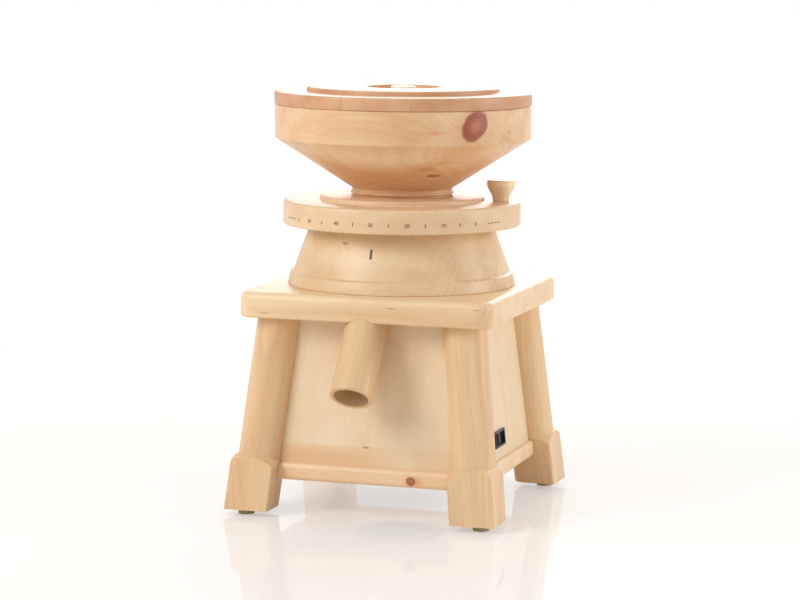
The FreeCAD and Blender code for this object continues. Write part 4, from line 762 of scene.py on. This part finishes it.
# ---------------------------------------------------------------- sub-assemblies
@dataclass
class Hopper:
    """Turned bowl with its neck, and the lid with its recessed knob."""

    wall: float = 10.0  # thickness of the bowl's rim
    neck: float = 46.8  # radius of the neck
    groove_depth: float = 1.2  # how far the groove under the bead is set in
    groove_top: float = 1.7  # level of the groove's upper edge above the dial
    bead: float = 1.4  # how far the bead stands out
    bead_levels: Pair = (1.8, 4.3)  # the bead's lower and upper level above the dial
    bead_end: float = 4.5  # where the neck goes on above the bead
    spigot: float = 38.0  # radius of the disc that seats in the dial
    spigot_depth: float = 8.5  # its height
    neck_height: float = 6.9  # from the dial to the cone
    cone_height: float = 46.6  # from the neck to the upright rim
    feed: float = 15.0  # radius of the feed bore
    floor_rise: float = 3.0  # how far the inner cone begins above the outer one
    lid_ledge: float = 30.0  # width of the lid's lower step
    lid_step: float = 4.5  # height of its upper one
    lid_spigot_gap: float = 1.5  # play between the lid's locating disc and the bowl
    lid_spigot_depth: float = 8.0  # height of that disc
    recess: float = 35.6  # radius of the finger recess
    recess_depth: float = 11.0  # its depth
    recess_draft: float = 3.0  # how much narrower its floor is
    knob_foot: float = 7.5  # radius of the knob's foot
    knob_waist: Pair = (1.0, 3.5)  # how far the waist is set in, and its height
    knob_shoulder: float = 6.5  # height at which the knob is full
    knob_crown: float = 1.1  # height of its domed top

    def build(self, finish: dict[str, Material]) -> None:
        """Build the bowl, the lid and the lid's knob.

        Args:
            finish: material of each slot.
        """
        self._bowl(finish["bowl_pine"])
        self._lid(finish["lid_pine"])
        self._knob(finish["knob_wood"])

    def _bowl(self, wood: Material) -> None:
        """Neck with a bead, straight cone and upright rim, hollowed to the feed bore.

        Args:
            wood: its finish.
        """
        radius, low, top = extent("hopper_bowl")
        seat = low + self.spigot_depth
        cone = seat + self.neck_height
        rim = cone + self.cone_height
        inner = radius - self.wall
        slope = (radius - self.neck) / self.cone_height
        floor = rim + self.floor_rise
        foot = floor - (inner - self.feed) / slope
        groove = self.neck - self.groove_depth
        bead = self.neck + self.bead
        bead_low, bead_high = self.bead_levels
        mesh = turned([
            Corner(self.feed, low), Corner(self.spigot, low), Corner(self.spigot, seat + SEAT_GAP),
            Corner(groove, seat + SEAT_GAP), Corner(groove, seat + self.groove_top, 0.3),
            Corner(bead, seat + bead_low, 1.1), Corner(bead, seat + bead_high, 1.1),
            Corner(self.neck, seat + self.bead_end, 0.4), Corner(self.neck, cone, 2.0),
            Corner(radius, rim, 1.6), Corner(radius, top, 1.3), Corner(inner, top, 1.0),
            Corner(inner, floor, 3.0), Corner(self.feed, foot)])
        finished("hopper_bowl_turned", mesh, wood, "hopper_unit", ["hopper_bowl"])

    def _lid(self, wood: Material) -> None:
        """Two-step lid with a locating disc under it and a finger recess.

        Args:
            wood: its finish.
        """
        radius, low, top = extent("lid")
        seat = low + self.lid_spigot_depth + SEAT_GAP
        spigot = extent("hopper_bowl")[0] - self.wall - self.lid_spigot_gap
        shoulder = top - self.lid_step
        step = radius - self.lid_ledge
        deep = top - self.recess_depth
        mesh = turned([
            Corner(0, low), Corner(spigot, low, 1.2), Corner(spigot, seat, 0.5),
            Corner(radius, seat, 1.1), Corner(radius, shoulder, 2.0), Corner(step, shoulder, 0.6),
            Corner(step, top, 2.0), Corner(self.recess, top, 1.8),
            Corner(self.recess - self.recess_draft, deep, 2.5), Corner(0, deep)], closed=False)
        finished("lid_turned", mesh, wood, "lid", ["lid"])

    def _knob(self, wood: Material) -> None:
        """Low knob that stands in the lid's recess, flush with its top.

        Args:
            wood: its finish.
        """
        radius, low, top = extent("lid_knob")
        foot = self.knob_foot
        narrow, waist = self.knob_waist
        mesh = turned([
            Corner(0, low), Corner(foot, low, 0.5), Corner(foot - narrow, low + waist, 2.5),
            Corner(radius, low + self.knob_shoulder, 1.6), Corner(radius, top - self.knob_crown, 1.6),
            Corner(0, top)], closed=False, steps=SMALL_STEPS)
        finished("lid_knob_turned", mesh, wood, "lid", ["lid_knob"])


@dataclass
class Dial:
    """Graduated dial with its step, its turned grip and the figures round its edge."""

    step_inset: float = 34.0  # width of the lower step
    step_height: float = 4.5  # height of the upper one
    feed: float = 15.0  # radius of the feed bore
    top_round: float = 3.0  # rounding of the upper edge
    zero: float = 54.4  # where the 0 stands, in degrees from the front towards the right
    ten: float = 17.3  # turn from one figure to the next
    figures: tuple[str, ...] = ("0", "10", "20", "30", "40", "50")  # the numbers, from the zero on
    figure_size: float = 4.9  # size of the type, millimetres
    figure_drop: float = 2.9  # how far under the middle of the edge the figures stand
    figure_steps: int = 3  # straight pieces in a curve of a figure
    tick: Pair = (0.7, 3.2)  # width and height of a tick
    dash: Pair = (2.6, 0.8)  # width and height of a dash
    dashes: int = 4  # how many dashes follow each end of the scale
    dash_starts: Pair = (8.5, 13.0)  # turn from the 0 and from the last figure to the first dash
    dash_pitch: float = 2.4  # turn from one dash to the next
    proud: float = 0.12  # how far the marks stand out
    grip_foot: float = 7.6  # radius of the grip's foot
    grip_waist: Pair = (0.6, 5.0)  # how much wider the foot's top is, and its height
    grip_shoulder: float = 14.0  # height at which the grip is full

    def build(self, finish: dict[str, Material], stamp: Material) -> None:
        """Build the dial, its scale and its grip.

        Args:
            finish: material of each slot.
            stamp: material of the scale.
        """
        radius, low, top = extent("dial")
        ledge = top - self.step_height
        step = radius - self.step_inset
        mesh = turned([
            Corner(self.feed, low), Corner(radius, low, 1.6), Corner(radius, ledge, self.top_round),
            Corner(step, ledge, 0.8), Corner(step, top, 2.7), Corner(self.feed, top)])
        finished("dial_turned", mesh, finish["dial_pine"], "hopper_unit", ["dial"])
        scale = self._scale(radius, (low + ledge) / 2 - self.figure_drop)
        finished("dial_scale", scale, stamp, "hopper_unit")
        self._grip(finish["knob_wood"])

    def _scale(self, radius: float, level: float) -> Shape:
        """Figures with a tick between them, and a row of dashes past each end.

        Args:
            radius: radius of the dial.
            level: level of the marks' middles.

        Returns:
            All marks in one mesh, in millimetres.
        """
        whole = bmesh.new()
        for k, text in enumerate(self.figures):
            self._wrap(whole, self._figure(text), radius, self.zero - k * self.ten, level)
            self._wrap(whole, self._bar(*self.tick), radius, self.zero - (k + 0.5) * self.ten, level)
        last = self.zero - (len(self.figures) - 1) * self.ten
        before, after = self.dash_starts
        for k in range(self.dashes):
            further = self.dash_pitch * k
            for place in (self.zero + before + further, last - after - further):
                self._wrap(whole, self._bar(*self.dash), radius, place, level)
        return whole

    def _figure(self, text: str) -> bpy.types.Mesh:
        """Raised figure, flat on the XY plane.

        Args:
            text: what it says.

        Returns:
            A mesh centred on the origin, in millimetres.
        """
        curve = bpy.data.curves.new("figure", "FONT")
        curve.body = text
        curve.size = self.figure_size
        curve.align_x = "CENTER"
        curve.align_y = "CENTER"
        curve.resolution_u = self.figure_steps
        curve.extrude = self.proud
        holder = bpy.data.objects.new("figure", curve)
        data = bpy.data.meshes.new_from_object(holder)
        bpy.data.objects.remove(holder)
        bpy.data.curves.remove(curve)
        return data

    def _bar(self, width: float, height: float) -> bpy.types.Mesh:
        """Raised bar, flat on the XY plane.

        Args:
            width: along the dial's edge.
            height: across it.

        Returns:
            A mesh centred on the origin, in millimetres.
        """
        mesh = bmesh.new()
        bmesh.ops.create_cube(mesh, size=1.0)
        bmesh.ops.scale(mesh, vec=(width, height, 2 * self.proud), verts=mesh.verts)
        return stored("bar", mesh)

    @staticmethod
    def _wrap(whole: Shape, flat: bpy.types.Mesh, radius: float, turn: float, level: float) -> None:
        """Bend a flat mark round the dial's edge and add it to the scale.

        Args:
            whole: the scale.
            flat: the mark, which is removed.
            radius: radius of the dial.
            turn: degrees from the front towards the right.
            level: level of the mark's middle.
        """
        part = bmesh.new()
        part.from_mesh(flat)
        bpy.data.meshes.remove(flat)
        bmesh.ops.remove_doubles(part, verts=part.verts, dist=MERGE)
        for vert in part.verts:
            angle = math.radians(turn) + vert.co.x / radius
            reach = radius + vert.co.z
            vert.co = Vector((reach * math.sin(angle), -reach * math.cos(angle), level + vert.co.y))
        data = stored("wrapped", part)
        whole.from_mesh(data)
        bpy.data.meshes.remove(data)

    def _grip(self, wood: Material) -> None:
        """Turned grip: a narrow foot that swells to a wider head.

        Args:
            wood: its finish.
        """
        low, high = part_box("dial_knob")
        centre = (low + high) / 2 / MM - AXIS
        radius, base, top = extent("dial_knob")
        foot = self.grip_foot
        wider, waist = self.grip_waist
        mesh = turned([
            Corner(0, base), Corner(foot, base, 0.4), Corner(foot + wider, base + waist, 5.0),
            Corner(radius, base + self.grip_shoulder, 6.0), Corner(radius, top, 1.8), Corner(0, top)],
            closed=False, steps=SMALL_STEPS)
        bmesh.ops.translate(mesh, vec=(centre.x, centre.y, 0), verts=mesh.verts)
        finished("dial_grip", mesh, wood, "hopper_unit", ["dial_knob"])


@dataclass
class Housing:
    """Turned wooden shell of the grinding chamber, with its two-step plinth and taper."""

    flare: float = 15.4  # how much narrower the crown is than the taper's foot
    foot_height: float = 12.6  # where the taper begins
    plinth_height: float = 11.0  # height of the plinth
    plinth_step: float = 2.8  # width of each of its steps
    groove_land: float = 5.0  # wood outside the friction ring's groove
    groove_width: float = 14.0  # width of that groove
    groove_depth: float = 6.5  # its depth
    seat: Pair = (29.5, 43.5)  # lower and upper level of the thread ring's seat above the board
    mouth: float = 62.0  # radius of the opening at the top
    ring_seat: float = 76.0  # radius of the thread ring's seat
    chamber: Pair = (80.0, 92.0)  # radius of the grinding chamber at its top and at its floor

    def build(self, wood: Material) -> None:
        """Build the shell.

        Args:
            wood: its finish.
        """
        base, low, top = extent("body_housing")
        plinth = base - self.plinth_step
        foot = plinth - self.plinth_step
        crown = foot - self.flare
        outer = crown - self.groove_land
        inner = outer - self.groove_width
        floor = top - self.groove_depth
        narrow, wide = self.chamber
        below, above = (low + level for level in self.seat)
        mesh = turned([
            Corner(wide, low), Corner(base, low, 0.8), Corner(plinth, low + self.plinth_height, 2.2),
            Corner(foot, low + self.foot_height, 1.5), Corner(crown, top, 1.4), Corner(outer, top, 0.5),
            Corner(outer, floor), Corner(inner, floor), Corner(inner, top, 0.5),
            Corner(self.mouth, top, 0.5), Corner(self.mouth, above), Corner(self.ring_seat, above),
            Corner(self.ring_seat, below), Corner(narrow, below)])
        finished("housing_turned", mesh, wood, "stand", ["body_housing"])


@dataclass
class Stand:
    """Boards, legs and panels round the motor, each with the grain in its own direction."""

    splay: float = 0.108  # how far a leg leans, sideways and in depth, for each unit of height
    # each leg's node, its side and its depth from the middle
    legs: tuple[tuple[str, int, int], ...] = (
        ("leg_front_left", -1, -1), ("leg_front_right", 1, -1), ("leg_rear_right", 1, 1),
        ("leg_rear_left", -1, 1))
    leg_seed: float = 11.0  # seed of the first leg's wood

    def build(self) -> None:
        """Dress the legs, the base board and the side panels."""
        for number, (node, side, depth) in enumerate(self.legs):
            lean = Vector((-side * self.splay, -depth * self.splay, 1.0)).to_track_quat("Z", "Y")
            wood = replace(LEG_WOOD, name=f"pine_{node}", grain=tuple(lean.to_euler()),
                           seed=self.leg_seed + number)
            dress([node], wood.build())
        dress(["bottom_board"], BASE_WOOD.build())
        sides = replace(PANEL_WOOD, name="birch_plywood_sides", pith=(900.0, 20.0), seed=12.5, stains_and_painted_light=())
        dress(["left_panel", "right_panel"], sides.build())


# ---------------------------------------------------------------- studio
@dataclass(frozen=True)
class Lamp:
    """Soft square lamp that looks at the mill."""

    name: str
    azimuth: float  # degrees from the front towards the right
    elevation: float  # degrees above the table
    distance: float  # metres from the mill's middle
    size: float  # side of the lamp, metres
    power: float  # watts
    tint: str = "#FFFFFF"


@dataclass
class Studio:
    """White table, soft lamps and the camera."""

    # the point that the camera and the lamps look at, metres
    middle: Vector = field(default_factory=lambda: Vector((-0.001236, 0.016388, 0.1898)))
    azimuth: float = 17.55  # the camera's direction, degrees from the front towards the right
    elevation: float = 7.42  # degrees above the table
    distance: float = 2.6059  # metres from the middle
    roll: float = 0.50  # the camera's roll, degrees
    lens: float = 124.59  # focal length, millimetres
    ambient: float = 0.5  # level of the light from all round
    table_side: float = 8.0  # side of the table, metres
    near: float = 0.22  # where the table begins to fade into the background, metres from its middle
    far: float = 1.1  # where it has faded
    glow: float = 0.4  # share of plain white at the near end
    lamps: tuple[Lamp, ...] = (
        Lamp("key_lamp", -38.0, 31.0, 2.0, 0.9, 19.0),
        Lamp("top_lamp", 60.0, 82.0, 1.8, 1.2, 3.5),
        Lamp("back_lamp", 186.0, 27.0, 2.0, 1.3, 19.0),
        Lamp("side_lamp", 100.0, 14.0, 2.0, 0.9, 13.0),
    )

    def build(self) -> None:
        """Set the view transform, the world, the table, the lamps and the camera."""
        bpy.context.scene.view_settings.view_transform = "Standard"
        self._world()
        self._table()
        for lamp in self.lamps:
            data = bpy.data.lights.new(lamp.name, "AREA")
            data.shape = "SQUARE"
            data.size = lamp.size
            data.energy = lamp.power
            data.color = linear(lamp.tint)[:3]
            light = shown(lamp.name, data)
            light.matrix_world = self._aim(lamp.azimuth, lamp.elevation, lamp.distance)
        self._camera()

    def _aim(self, azimuth: float, elevation: float, distance: float, roll: float = 0.0) -> Matrix:
        """Placement of something that looks at the mill.

        Args:
            azimuth: degrees from the front towards the right.
            elevation: degrees above the table.
            distance: metres from the middle.
            roll: turn about its own line of sight, degrees.

        Returns:
            A world matrix.
        """
        turn, lift = math.radians(azimuth), math.radians(elevation)
        back = Vector((math.sin(turn) * math.cos(lift), -math.cos(turn) * math.cos(lift), math.sin(lift)))
        right = UP.cross(back).normalized()
        axes = Matrix((right, back.cross(right), back)).transposed().to_4x4()
        spin = Matrix.Rotation(math.radians(roll), 4, "Z")
        return Matrix.Translation(self.middle + back * distance) @ axes @ spin

    @staticmethod
    def _seen(tree: Tree) -> Socket:
        """1 for what the camera sees straight, in a reflection or through glass, otherwise 0."""
        kinds = ("Camera", "Glossy", "Transmission")
        rays = [put(tree, "LightPath", out=f"Is {kind} Ray") for kind in kinds]
        return maths(tree, "MAXIMUM", maths(tree, "MAXIMUM", rays[0], rays[1]), rays[2])

    def _world(self) -> None:
        """White where it is seen, and a plain level where it lights."""
        world = bpy.data.worlds.new("studio")
        world.use_nodes = True
        bpy.context.scene.world = world
        tree = world.node_tree
        level = remap(tree, self._seen(tree), 0.0, 1.0, self.ambient, 1.0)
        background = tree.nodes["Background"]
        background.inputs["Color"].default_value = linear("#FFFFFF")
        tree.links.new(level, background.inputs["Strength"])

    def _table(self) -> None:
        """Glossy white table top that fades into the background."""
        mesh = bmesh.new()
        bmesh.ops.create_grid(mesh, x_segments=1, y_segments=1, size=self.table_side / 2)
        data = stored("table_top", mesh)
        table = shown("table_top", data)
        material, tree, place = new_material(
            "white_lacquer", {"Roughness": 0.05, "IOR": 1.9, "Base Color": linear("#FBF5EC")})
        glow = put(tree, "Emission", {"Color": linear("#FFFFFF"), "Strength": 1.0})
        away = measure(tree, "LENGTH", place)
        fade = remap(tree, away, self.near, self.far, self.glow, 1.0, "SMOOTHSTEP")
        share = maths(tree, "MULTIPLY", self._seen(tree), fade)
        lacquer = tree.nodes["Principled BSDF"].outputs[0]
        mixed = put(tree, "MixShader", {0: share, 1: lacquer, 2: glow})
        # seen from below, the table isn't there, so that the underside of the mill shows
        below = put(tree, "NewGeometry", out="Backfacing")
        clear = put(tree, "BsdfTransparent")
        mixed = put(tree, "MixShader", {0: below, 1: mixed, 2: clear})
        tree.links.new(mixed, tree.nodes["Material Output"].inputs["Surface"])
        data.materials.append(material)

    def _camera(self) -> None:
        """Long lens a little above the table, in front and to the right."""
        data = bpy.data.cameras.new("camera")
        data.lens = self.lens
        camera = shown("camera", data)
        camera.matrix_world = self._aim(self.azimuth, self.elevation, self.distance, self.roll)
        bpy.context.scene.camera = camera


def main() -> None:
    """Build every sub-assembly, dress what the frame brings and set the studio."""
    logging.basicConfig(level=logging.INFO, format="%(name)s: %(message)s")
    finish = {slot: look.build() for slot, look in FINISHES.items()}
    for entry in frame["record"]["subparts"]:
        dress([entry["node"]], finish[entry["material_slot"]])
    Stand().build()
    Housing().build(finish["housing_pine"])
    Dial().build(finish, STAMP.build())
    Hopper().build(finish)
    Studio().build()


if __name__ == "__main__":
    main()
